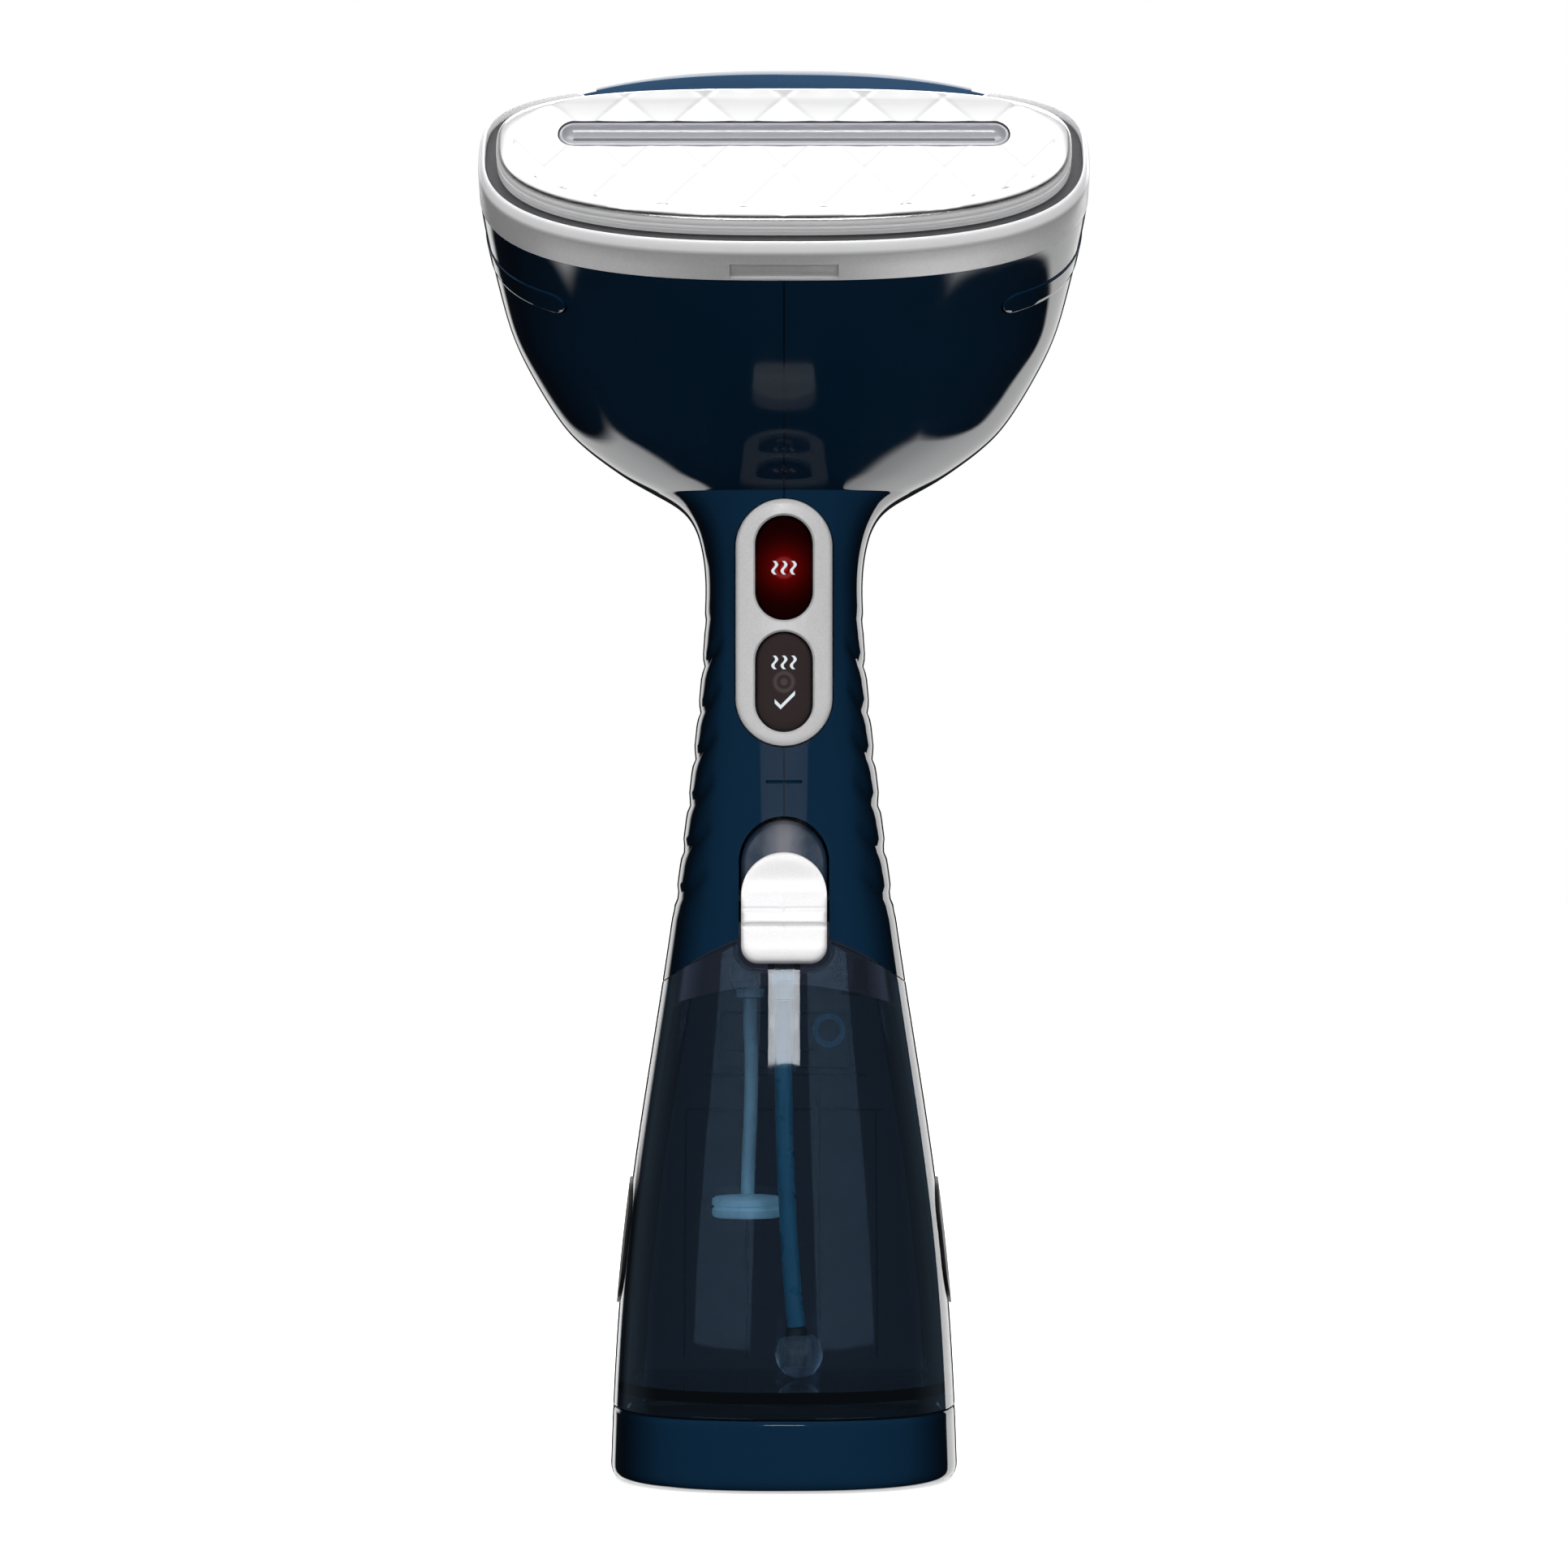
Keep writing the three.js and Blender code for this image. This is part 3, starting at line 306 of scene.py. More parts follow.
def new_object(name, points, faces, smooth=True):
    mesh = bpy.data.meshes.new(name)
    mesh.from_pydata([tuple(p) for p in np.asarray(points) * MM], [], faces)
    mesh.validate()
    if smooth:
        mesh.polygons.foreach_set("use_smooth", [True] * len(mesh.polygons))
    obj = bpy.data.objects.new(name, mesh)
    bpy.context.scene.collection.objects.link(obj)
    return obj


def loft(name, rings, loop=False):
    """A closed solid through rings of points, or a closed ring when the last joins the first."""
    rings = [np.asarray(r) for r in rings]
    count, faces = len(rings[0]), []
    total = len(rings)
    for r in range(total if loop else total - 1):
        a, b = r * count, ((r + 1) % total) * count
        for i in range(count):
            j = (i + 1) % count
            faces.append((a + i, a + j, b + j, b + i))
    if not loop:
        faces.append(tuple(range(count))[::-1])
        faces.append(tuple(range((total - 1) * count, total * count)))
    points = np.concatenate(rings)
    if signed_volume(points, faces) < 0:
        faces = [f[::-1] for f in faces]
    return new_object(name, points, faces)


def signed_volume(points, faces):
    total = 0.0
    for f in faces:
        p = points[list(f)]
        total += np.einsum("ij,ij->i", np.cross(p[1:-1], p[2:]), np.broadcast_to(p[0], (len(f) - 2, 3))).sum()
    return total


def settle(obj):
    """Turns an object's modifiers into its mesh."""
    graph = bpy.context.evaluated_depsgraph_get()
    mesh = bpy.data.meshes.new_from_object(obj.evaluated_get(graph))
    obj.modifiers.clear()
    obj.data = mesh


def combine(obj, others, operation):
    """Cuts, joins or crosses an object with helper solids, which are then removed."""
    others = others if isinstance(others, (list, tuple)) else [others]
    for other in others:
        m = obj.modifiers.new("boolean", "BOOLEAN")
        m.object, m.operation, m.solver = other, operation, "MANIFOLD"
    settle(obj)
    for other in others:
        bpy.data.objects.remove(other)
    return obj


def cut(obj, *others):
    return combine(obj, others, "DIFFERENCE")


def keep(obj, *others):
    return combine(obj, others, "INTERSECT")


def join(obj, *others):
    return combine(obj, others, "UNION")


def twin(obj, name):
    copy = obj.copy()
    copy.data = obj.data.copy()
    copy.name = name
    bpy.context.scene.collection.objects.link(copy)
    return copy


def on_side(side, obj):
    """A piece made for the right side, mirrored when it is for the left one."""
    if side < 0:
        obj.data.transform(Matrix.Scale(-1, 4, (1, 0, 0)))
        obj.data.flip_normals()
    return obj


def shade(obj, angle):
    """Smooth faces with sharp edges where the surface really turns."""
    mesh = obj.data
    mesh.polygons.foreach_set("use_smooth", [True] * len(mesh.polygons))
    mesh.set_sharp_from_angle(angle=math.radians(angle))


def placed(obj, place, lean):
    obj.data.transform(Matrix.Translation(Vector(place) * MM) @ Matrix.Rotation(lean, 4, "X"))
    return obj


def in_head(obj):
    return placed(obj, PLATE_CENTRE, TILT)


def block(name, x0, x1, y0, y1, z0, z1):
    p = [(x, y, z) for z in (z0, z1) for y in (y0, y1) for x in (x0, x1)]
    faces = [(0, 2, 3, 1), (4, 5, 7, 6), (0, 1, 5, 4), (2, 6, 7, 3), (0, 4, 6, 2), (1, 3, 7, 5)]
    return new_object(name, p, faces, smooth=False)


def outline_prism(name, outline, low, high, axis="y"):
    """A prism of an outline (across, up) along Y, X or Z."""
    rings = []
    for d in (low, high):
        a, b = outline[:, 0], outline[:, 1]
        c = np.full_like(a, d)
        rings.append(np.stack({"y": (a, c, b), "x": (c, a, b), "z": (a, b, c)}[axis], axis=1))
    return loft(name, rings)


def stadium(a, b, radius, steps=24):
    a, b = np.array(a, float), np.array(b, float)
    lean = math.atan2(b[1] - a[1], b[0] - a[0])
    turn = np.linspace(-math.pi / 2, math.pi / 2, steps + 1) + lean
    side = np.stack([np.cos(turn), np.sin(turn)], axis=1) * radius
    return np.concatenate([b + side, a - side])


def rounded_corner(half, low, radius, turn):
    """The lower right corner of an outline, as an arc."""
    return np.stack([half - radius + radius * np.cos(turn), low + radius + radius * np.sin(turn)], axis=1)


def upright(width, low, high, steps=24):
    return stadium((0, low + width / 2), (0, high - width / 2), width / 2, steps)


def resample(outline, spacing):
    """The same closed outline with evenly spaced points."""
    closed = np.concatenate([outline, outline[:1]])
    along = np.concatenate([[0], np.cumsum(np.linalg.norm(np.diff(closed, axis=0), axis=1))])
    at = np.linspace(0, along[-1], int(round(along[-1] / spacing)) + 1)[:-1]
    return np.stack([np.interp(at, along, closed[:, k]) for k in range(2)], axis=1)


def inset(outline, amount):
    """An outline moved inward along its normals."""
    ahead, behind = np.roll(outline, -1, axis=0), np.roll(outline, 1, axis=0)
    t = ahead - behind
    n = np.stack([t[:, 1], -t[:, 0]], axis=1)
    n /= np.maximum(np.linalg.norm(n, axis=1, keepdims=True), 1e-9)
    area = np.sum(outline[:, 0] * ahead[:, 1] - ahead[:, 0] * outline[:, 1])
    return outline - n * amount * np.sign(area)


def pillow(name, outline, profile, spine=None):
    """A solid of outlines at (inset, height) steps, heights along -Y, meshed in towards a spine."""
    rings = []
    for amount, height in profile:
        o = inset(outline, amount)
        rings.append(np.stack([o[:, 0], np.full(len(o), -height), o[:, 1]], axis=1))
    if spine:
        edge = rings[-1]
        core = np.stack([0 * edge[:, 0], edge[:, 1], np.clip(edge[:, 2], *spine)], axis=1)
        rings += [core + (edge - core) * f for f in np.linspace(1, 0.005, 18)[1:]]
    return loft(name, rings)


def body_solid(name, low, high, grow, around=144, every=1.6, grips=False):
    """The body's outer shape between two stations, moved outward by grow."""
    stations = np.linspace(low, high, int((high - low) / every) + 2)
    neck = np.arange(-12, 16, 0.5)
    neck = neck[(neck > low) & (neck < high)]
    turn = angles(around)
    rings = []
    for s in np.unique(np.round(np.concatenate([stations, neck]), 4)):
        depth = grip_depth(NECK_Z + s, turn) if grips and s < -20 else 0
        rings.append(body_ring(s, grow - depth, turn))
    return loft(name, rings)


def under_arch(name, arch, lift, low, y0, y1):
    """The space under the arch between the housing and the tank."""
    half = 60
    x = np.linspace(half, -half, 97)
    top, drop, span, power = arch
    z = top + lift - drop * (np.minimum(np.abs(x), 45) / span) ** power
    outline = np.concatenate([[(-half, low), (half, low)], np.stack([x, z], axis=1)])
    return outline_prism(name, outline, y0, y1)


def above_seam(name, shift):
    """The space above the seam between the top shell and the halves."""
    line = np.array([(-120, 339.3 + shift), (28, 275 + shift), (60, 275 + shift), (60, 380), (-120, 380)])
    return outline_prism(name, line, -90, 90, "x")


# ---- materials ----

class Nodes:
    """A small helper round one node tree."""

    def __init__(self, tree):
        self.tree = tree

    def add(self, kind, inputs=None, **attributes):
        """A node with its attributes set and its inputs linked or given a value."""
        node = self.tree.nodes.new(kind)
        for key, value in attributes.items():
            setattr(node, key, value)
        for key, value in (inputs or {}).items():
            if isinstance(value, bpy.types.NodeSocket):
                self.tree.links.new(value, node.inputs[key])
            else:
                node.inputs[key].default_value = value
        return node

    def math(self, operation, *values):
        return self.add("ShaderNodeMath", dict(enumerate(values)), operation=operation).outputs[0]

    def times(self, first, second):
        return self.math("MULTIPLY", first, second)

    def ramp(self, value, low, high, first, last, shape="LINEAR"):
        inputs = {"Value": value, "From Min": low, "From Max": high, "To Min": first, "To Max": last}
        return self.add("ShaderNodeMapRange", inputs, interpolation_type=shape).outputs["Result"]


class Looks(Nodes):
    """The node tree of one material."""

    def __init__(self, name):
        self.material = bpy.data.materials.new(name)
        self.material.use_nodes = True
        super().__init__(self.material.node_tree)
        self.shader = self.tree.nodes["Principled BSDF"]

    def set(self, **values):
        for key, value in values.items():
            socket = self.shader.inputs[key.replace("_", " ")]
            if isinstance(value, tuple) and len(value) == 3:
                value = (*value, 1)
            socket.default_value = value
        return self

    def link(self, output, name):
        self.tree.links.new(output, self.shader.inputs[name])

    def coordinates(self):
        return self.add("ShaderNodeTexCoord").outputs["Object"]

    def noise(self, scale, detail=3.0, vector=None):
        inputs = {"Vector": vector or self.coordinates(), "Scale": scale, "Detail": detail}
        return self.add("ShaderNodeTexNoise", inputs).outputs["Fac"]

    def mix(self, factor, first, second):
        first, second = (v if isinstance(v, bpy.types.NodeSocket) else (*v, 1) for v in (first, second))
        return self.add("ShaderNodeMix", {"Factor": factor, 6: first, 7: second}, data_type="RGBA").outputs[2]

    def facing(self, low, high):
        """0 where the surface faces the viewer, 1 where it turns away."""
        weight = self.add("ShaderNodeLayerWeight", {"Blend": 0.5}).outputs["Facing"]
        return self.ramp(weight, low, high, 0.0, 1.0)

    def facing_band(self):
        """1 where the surface faces the viewer, more on its flanks and nothing at its very edge."""
        rise = self.math("ADD", self.times(self.facing(0.3, 0.6), 3.0), 1.0)
        return self.times(rise, self.facing(0.72, 0.62))

    def flakes(self):
        """Tiny cells of random brightness, as in metallic paint."""
        cells = self.add("ShaderNodeTexVoronoi", {"Vector": self.coordinates(), "Scale": 5200.0})
        return self.add("ShaderNodeSeparateColor", {"Color": cells.outputs["Color"]}).outputs["Red"]

    def roughness(self, pattern, low, high):
        self.link(self.ramp(pattern, 0.3, 0.7, low, high), "Roughness")

    def bump(self, height, strength, distance):
        node = self.add("ShaderNodeBump", {"Height": height, "Strength": strength, "Distance": distance})
        self.link(node.outputs["Normal"], "Normal")


def glossy_plastic(name, colour, rough=0.045, depth=0.19):
    """Gloss over a colour with painted shade towards the edges, where the surface turns from the viewer, down
    to a share of the colour; a share above one paints light there instead.
    """
    n = Looks(name).set(Roughness=rough, Specular_IOR_Level=0.2)
    tone = n.noise(35.0)
    darker = tuple(0.86 * c for c in colour)
    painted_edge_tone = tuple(depth * c for c in colour)
    # Painted shade at the edges: the colour falls towards the share where the surface turns away.
    n.link(n.mix(n.facing(0.22, 0.62), n.mix(tone, darker, colour), painted_edge_tone), "Base Color")
    n.roughness(n.noise(160.0), rough * 0.8, rough * 1.35)
    n.bump(n.noise(70.0, detail=1.5), 0.012, 0.0004)
    return n.material


def satin_metal(name, colour, flake, rough=0.34, metallic=0.9, glow=0.0):
    """Metallic paint or satin metal, with painted shade where it turns edge-on to the viewer; glow stands for
    the studio's broad front light on pale pieces.
    """
    n = Looks(name).set(Metallic=metallic, Emission_Color=colour, Emission_Strength=glow)
    value = n.flakes()
    dim = tuple((1 - flake) * c for c in colour)
    edge = tuple(0.25 * c for c in colour)
    # Painted shade: the colour falls to a quarter where the surface turns edge-on.
    n.link(n.mix(n.facing(0.8, 0.97), n.mix(value, dim, colour), edge), "Base Color")
    n.roughness(n.noise(420.0), rough * 0.85, rough * 1.2)
    n.bump(value, 0.12, 0.00005)
    return n.material


def matte_plastic(name, colour, rough, grain=900.0, depth=0.0001, glow=None):
    """Plain plastic; glow stands for light that reaches it through its neighbours."""
    n = Looks(name)
    if glow:
        n.set(Emission_Color=glow, Emission_Strength=1.0)
    tone = n.noise(grain, detail=2.0)
    n.link(n.mix(tone, tuple(0.75 * c for c in colour), colour), "Base Color")
    n.roughness(n.noise(240.0), rough * 0.85, min(1.0, rough * 1.15))
    n.bump(tone, 0.4, depth)
    return n.material


def clear_plastic(name, tint, density, ior, clear=1.0, glow=(0.0, 0.0, 0.0)):
    """Clear plastic, smoked through its depth; glow stands for light from its neighbours."""
    n = Looks(name).set(Base_Color=(0.97, 0.98, 1.0), IOR=ior, Transmission_Weight=clear)
    n.set(Emission_Color=glow)
    n.link(n.facing_band(), "Emission Strength")
    n.roughness(n.noise(60.0), 0.009, 0.0225)
    n.bump(n.noise(45.0, detail=1.0), 0.004, 0.0003)
    depth = n.add("ShaderNodeVolumeAbsorption", {"Color": (*tint, 1), "Density": density})
    output = n.tree.nodes["Material Output"]
    n.tree.links.new(depth.outputs[0], output.inputs["Volume"])
    return n.material


def over_plate(n, level):
    """How far a point is in front of a level over the steam plate's face."""
    out = (0.0, -math.sin(TILT), math.cos(TILT))
    base = (Vector(out).dot(Vector(PLATE_CENTRE)) + level) * MM
    height = n.add("ShaderNodeVectorMath", {0: n.coordinates(), 1: out}, operation="DOT_PRODUCT")
    return n.math("SUBTRACT", height.outputs["Value"], base)


def rim_metal(name, colour):
    """The band's satin metal, with a painted highlight on its front lip, a paler colour and a faint white
    glow, and painted shade where it turns edge-on.
    """
    n = Looks(name).set(Metallic=0.3)
    value = n.flakes()
    # Painted highlight: paler and faintly glowing over the front lip.
    painted_lip_highlight = n.ramp(over_plate(n, -7.6), 0.0, 1.4 * MM, 0.0, 1.0)
    base = n.mix(value, tuple(0.88 * c for c in colour), colour)
    base = n.mix(painted_lip_highlight, base, (0.95, 0.95, 0.96))
    # Painted shade where the band turns edge-on to the viewer.
    n.link(n.mix(n.facing(0.78, 0.95), base, (0.2, 0.2, 0.21)), "Base Color")
    n.set(Emission_Color=(1.0, 1.0, 1.0))
    n.link(n.ramp(painted_lip_highlight, 0.3, 1.0, 0.0, 0.13), "Emission Strength")
    n.roughness(n.noise(420.0), 0.29, 0.4)
    n.bump(value, 0.12, 0.00005)
    return n.material


def guide_material():
    """The latch recess's floor: dark blue, with a painted highlight down its middle, a paler soft patch."""
    n = Looks("guide_plastic").set(Specular_IOR_Level=0.2)
    across = n.add("ShaderNodeSeparateXYZ", {"Vector": n.coordinates()}).outputs["X"]
    # Painted highlight: a paler soft patch down the middle of the recess.
    patch = n.ramp(n.math("ABSOLUTE", across), 1.0 * MM, 5.5 * MM, 1.0, 0.0)
    n.link(n.mix(patch, (0.005, 0.02, 0.045), (0.115, 0.12, 0.145)), "Base Color")
    n.roughness(n.noise(160.0), 0.2, 0.32)
    n.bump(n.noise(300.0), 0.1, 0.0001)
    return n.material


def polished_metal(name, colour, satin_below):
    """Polished metal, satin below a height over the plate's face."""
    n = Looks(name)
    n.link(n.ramp(over_plate(n, satin_below), -0.6 * MM, 0.0, 0.42, 1.0), "Metallic")
    coords = n.add("ShaderNodeMapping", {"Vector": n.coordinates(), "Scale": (3.0, 60.0, 60.0)}).outputs[0]
    lines = n.noise(22.0, detail=4.0, vector=coords)
    n.link(n.mix(lines, tuple(0.93 * c for c in colour), colour), "Base Color")
    n.roughness(lines, 0.16, 0.25)
    return n.material


NAVY = (0.0042, 0.0205, 0.047)
SILVER = (0.68, 0.675, 0.685)

M = {}


def make_materials():
    M["navy"] = glossy_plastic("navy_gloss", NAVY)
    # The top shell's navy is painted light from above: half as bright again, and brighter still towards its
    # edges.
    M["navy_top_painted_light"] = glossy_plastic("navy_top_painted_light", tuple(1.5 * c for c in NAVY), depth=1.3)
    M["silver"] = satin_metal("satin_silver", SILVER, metallic=0.3, flake=0.12)
    M["rim"] = rim_metal("rim_silver", tuple(0.84 * c for c in SILVER))
    M["plate"] = polished_metal("plate_metal", (0.93, 0.93, 0.935), satin_below=-0.5)
    M["slot"] = satin_metal("slot_metal", (0.5, 0.5, 0.54), rough=0.22, metallic=0.45, flake=0.05)
    M["groove"] = matte_plastic("seal_grey", (0.1, 0.1, 0.105), 0.5)
    M["smoke"] = clear_plastic("smoked_clear", (0.24, 0.42, 0.55), 520.0, 1.34, glow=(0.0026, 0.0038, 0.005))
    M["lid"] = clear_plastic("lid_smoked", (0.3, 0.3, 0.36), 50.0, 1.34, glow=(0.022, 0.019, 0.024))
    M["hose"] = matte_plastic("hose_clear", (0.62, 0.85, 0.9), 0.3, grain=300.0, depth=0.00002)
    M["black"] = matte_plastic("grip_black", (0.008, 0.008, 0.009), 0.5)
    M["frame"] = matte_plastic("dark_frame", (0.03, 0.038, 0.055), 0.35, glow=(0.024, 0.021, 0.028))
    M["relief"] = matte_plastic("dock_relief", (0.06, 0.15, 0.24), 0.35)
    M["guide"] = guide_material()
    M["latch"] = satin_metal("latch_silver", (0.9, 0.895, 0.905), metallic=0.25, flake=0.1, glow=0.1)
    M["grey"] = glossy_plastic("control_grey", (0.28, 0.29, 0.31), rough=0.3)
    M["steel"] = satin_metal("zinc_steel", (0.6, 0.6, 0.62), rough=0.3, flake=0.08)
    M["natural"] = matte_plastic("hose_natural", (0.7, 0.66, 0.56), 0.45)
    M["board"] = matte_plastic("board_green", (0.02, 0.12, 0.05), 0.4)
    M["cast"] = satin_metal("cast_alloy", (0.4, 0.4, 0.4), rough=0.55, flake=0.35)
    M["led"] = matte_plastic("led_red", (0.5, 0.02, 0.02), 0.3)
    M["ball"] = clear_plastic("weight_clear", (0.6, 0.75, 0.85), 60.0, 1.3, clear=0.9)
    M["intake"] = matte_plastic("intake_clear", (0.05, 0.3, 0.43), 0.3, grain=300.0, depth=0.00002)
    M["disc"] = matte_plastic("disc_clear", (0.8, 0.95, 1.0), 0.3, grain=300.0, glow=(0.05, 0.115, 0.14))
    M["boss"] = matte_plastic("boss_clear", (0.6, 0.85, 0.95), 0.3, grain=300.0, glow=(0.02, 0.06, 0.085))


def paint(obj, key):
    obj.data.materials.clear()
    obj.data.materials.append(M[key])


def finish_piece(obj, key, body, node, angle=32):
    """Gives a piece its material, slot and body, and hides the CAD node that it stands for."""
    paint(obj, key)
    shade(obj, angle)
    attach(obj, body)
    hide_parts(node)


# ---- housing ----

SEAM = 0.24
SCREWS = [(30, 45), (26, 92), (21, 139)]
INSET_ENDS = ((80.0, -0.76), (88.0, 0.25))
INSET_AIM = (86.0, -0.42)
INSET_RADIUS = 3.2


def surface_point(s, turn):
    return body_ring(s, 0, np.array([turn]))[0]


def surface_normal(s, turn):
    along = surface_point(s + 0.1, turn) - surface_point(s - 0.1, turn)
    around = surface_point(s, turn + 0.01) - surface_point(s, turn - 0.01)
    normal = np.cross(around, along)
    return normal / np.linalg.norm(normal)


def inset_prism(side, radius):
    """A stadium prism square to the head's flank, where the oval inset sits."""
    start, end = (surface_point(*p) for p in INSET_ENDS)
    aim = surface_normal(*INSET_AIM)
    run = end - start
    run -= aim * run.dot(aim)
    length = np.linalg.norm(run)
    run /= length
    rise = np.cross(aim, run)
    outline = stadium((0, 0), (length, 0), radius)
    face = start + outline[:, :1] * run + outline[:, 1:] * rise
    return on_side(side, loft("inset_prism", [face - 12 * aim, face + 22 * aim]))


def make_housing():
    low = FOOT_TOP + GAP - NECK_Z
    shell = body_solid("housing", low, SWEEP, 0, grips=True)
    hollow = body_solid("hollow", low - 1, SWEEP + 1.4, -WALL, around=96, every=3.0)
    tank_space = under_arch("tank_space", ARCH, GAP / 2, 0, -70, TANK_BACK + GAP)
    latch_way = placed(outline_prism("latch_way", upright(21.4, -30, 21.6), -8, 12), LATCH_PLACE, LATCH_LEAN)
    bezel_way = outline_prism("bezel_way", upright(23.5, 174.95, 234.15), -32, -18)
    trigger_way = outline_prism("trigger_way", upright(18.4, 175.2, 222.6), 18, 40)
    power_way = block("power_way", -5, 5, 20, 40, 145.8, 161.2)
    cut(shell, hollow)
    top = twin(shell, "head_top")
    notch = block("notch", -4.3, 4.3, -40, -25.6, 166.4, 167.2)
    cut(shell, notch, tank_space, latch_way, bezel_way, trigger_way, power_way)
    cut(shell, above_seam("seam", -GAP / 2))
    for side, name in ((-1, "housing_left"), (1, "housing_right")):
        half = twin(shell, name)
        inner = body_solid("inner", low - 1, SWEEP + 1.4, -WALL / 2, around=96, every=3.0)
        if side < 0:
            keep(inner, block("lip_space", -90, 1.0, -140, 80, 0, 400))
            keep(half, join(block("half_space", -90, -SEAM / 2, -140, 80, 0, 400), inner))
        else:
            keep(inner, block("lip_space", -1, 1.2, -140, 80, 0, 400))
            keep(half, cut(block("half_space", SEAM / 2, 90, -140, 80, 0, 400), inner))
        cut(half, inset_prism(side, INSET_RADIUS + 1.5 * GAP))
        if side < 0:
            holes = []
            for y, z in SCREWS:
                floor = -0.7 * float(HALF_WIDTH(z - NECK_Z))
                holes.append(outline_prism("hole", circle(y, z, 3.1, 32), -60, floor, "x"))
            cut(half, *holes)
        finish_piece(half, "navy", "housing", name)
    bpy.data.objects.remove(shell)
    return top


def make_insets():
    for side, name in ((-1, "side_inset_left"), (1, "side_inset_right")):
        patch = body_solid(name, 20, 100, 0.25, every=2.0)
        cut(patch, body_solid("inside", 18, 102, -WALL, around=72, every=4.0))
        keep(patch, inset_prism(side, INSET_RADIUS))
        edge = patch.modifiers.new("edge", "BEVEL")
        edge.width, edge.segments = 0.35 * MM, 2
        edge.limit_method, edge.angle_limit = "ANGLE", math.radians(50)
        settle(patch)
        finish_piece(patch, "navy", "housing", name)


def outline_of(spec, grow):
    half, low, high = (spec[key] + grow for key in ("half", "low", "high"))
    x, y = superellipse(half, low, high, spec["powers"], angles(200))
    return np.stack([x, y + RISE], axis=1)


def make_top_shell(top):
    keep(top, above_seam("seam", GAP / 2))
    steps = [(-18, 34.0), (-16.3, 33.6), (-13, 32.3), (-11, 30.9)]
    steps += [(-9.3, 29.5), (-8, 28.2), (-7, 26.8), (-6.5, 25.6)]

    def section(half, power, z, high):
        return at_height(outline_of(dict(half=half, low=28.0, high=high, powers=(power, power)), 0), z)

    web = loft("web", [section(69.6, 2.62, *at) for at in steps[:2]])
    cut(web, outline_prism("inside", outline_of(RIM, -1.7), -30, 5, "z"))
    brow = loft("brow", [section(64.0, 2.4, *at) for at in steps])
    keep(brow, block("ends", -43.1, 43.1, 10, 50, -17.5, 0))
    cut(brow, outline_prism("plate_way", outline_of(PLATE, 1.2), -30, 5, "z"))
    in_head(web)
    in_head(brow)
    keep(web, above_seam("seam", GAP / 2))
    join(top, web, brow)
    top.name = "head_top_shell"
    # Painted light: the top shell takes the lighter copy of the navy.
    finish_piece(top, "navy_top_painted_light", "housing", "head_top_shell")


# ---- rim and steam plate ----

def make_rim():
    """The silver band: a closed section swept round the plate, open above it."""
    section = [(0, -16), (0, -12), (0, -8.0), (0.1, -7.1), (0.3, -6.2), (0.55, -5.3), (0.8, -4.65)]
    section += [(1.1, -4.2), (1.35, -4.05), (1.6, -4.3), (1.7, -4.8), (1.7, -10), (1.7, -16)]
    end_angle = math.acos((43.5 / RIM["half"]) ** (RIM["powers"][1] / 2))
    turn = np.linspace(-math.pi - end_angle, end_angle, 260)
    sections = []
    for a in turn:
        ring = []
        near = min(abs(a - turn[0]), abs(a - turn[-1]))
        shrink = 1 - float(step(near, 0.0, 0.12))
        for amount, z in section:
            high = RIM["high"] - amount - 1.6 * shrink
            x, y = superellipse(RIM["half"] - amount, RIM["low"] - amount, high, RIM["powers"], np.array([a]))
            ring.append((x[0], y[0] + RISE, min(z, -4.0 - 3.0 * shrink)))
        sections.append(np.array(ring))
    rim = loft("rim_bezel", sections)
    cut(rim, block("tab", -12.3, 12.3, -26, -23.75, -15.4, -10.6))
    in_head(rim)
    finish_piece(rim, "rim", "housing", "rim_bezel")


QUILT_PITCH = 18.1
QUILT_ROW = 16.5
QUILT_SLANT = 1.22
CROWN_START = 9.0
SLOT_RADIUS = 3.5
SLOT_ENDS = ((-47.5, 5.5), (47.5, 5.5))


def quilt_height(x, y):
    """Shallow diamond pads between crossing lines, on a face that curves away at the top."""
    up = (y - QUILT_ROW) / QUILT_SLANT
    a = np.abs(((x + up) / QUILT_PITCH) % 1.0 - 0.5)
    b = np.abs(((x - up) / QUILT_PITCH) % 1.0 - 0.5)
    near = 0.5 - np.maximum(a, b)
    line = 0.10 * np.exp(-((near * QUILT_PITCH / 0.5) ** 2))
    return line - 0.55 * near - 0.0045 * np.maximum(y - CROWN_START, 0) ** 2


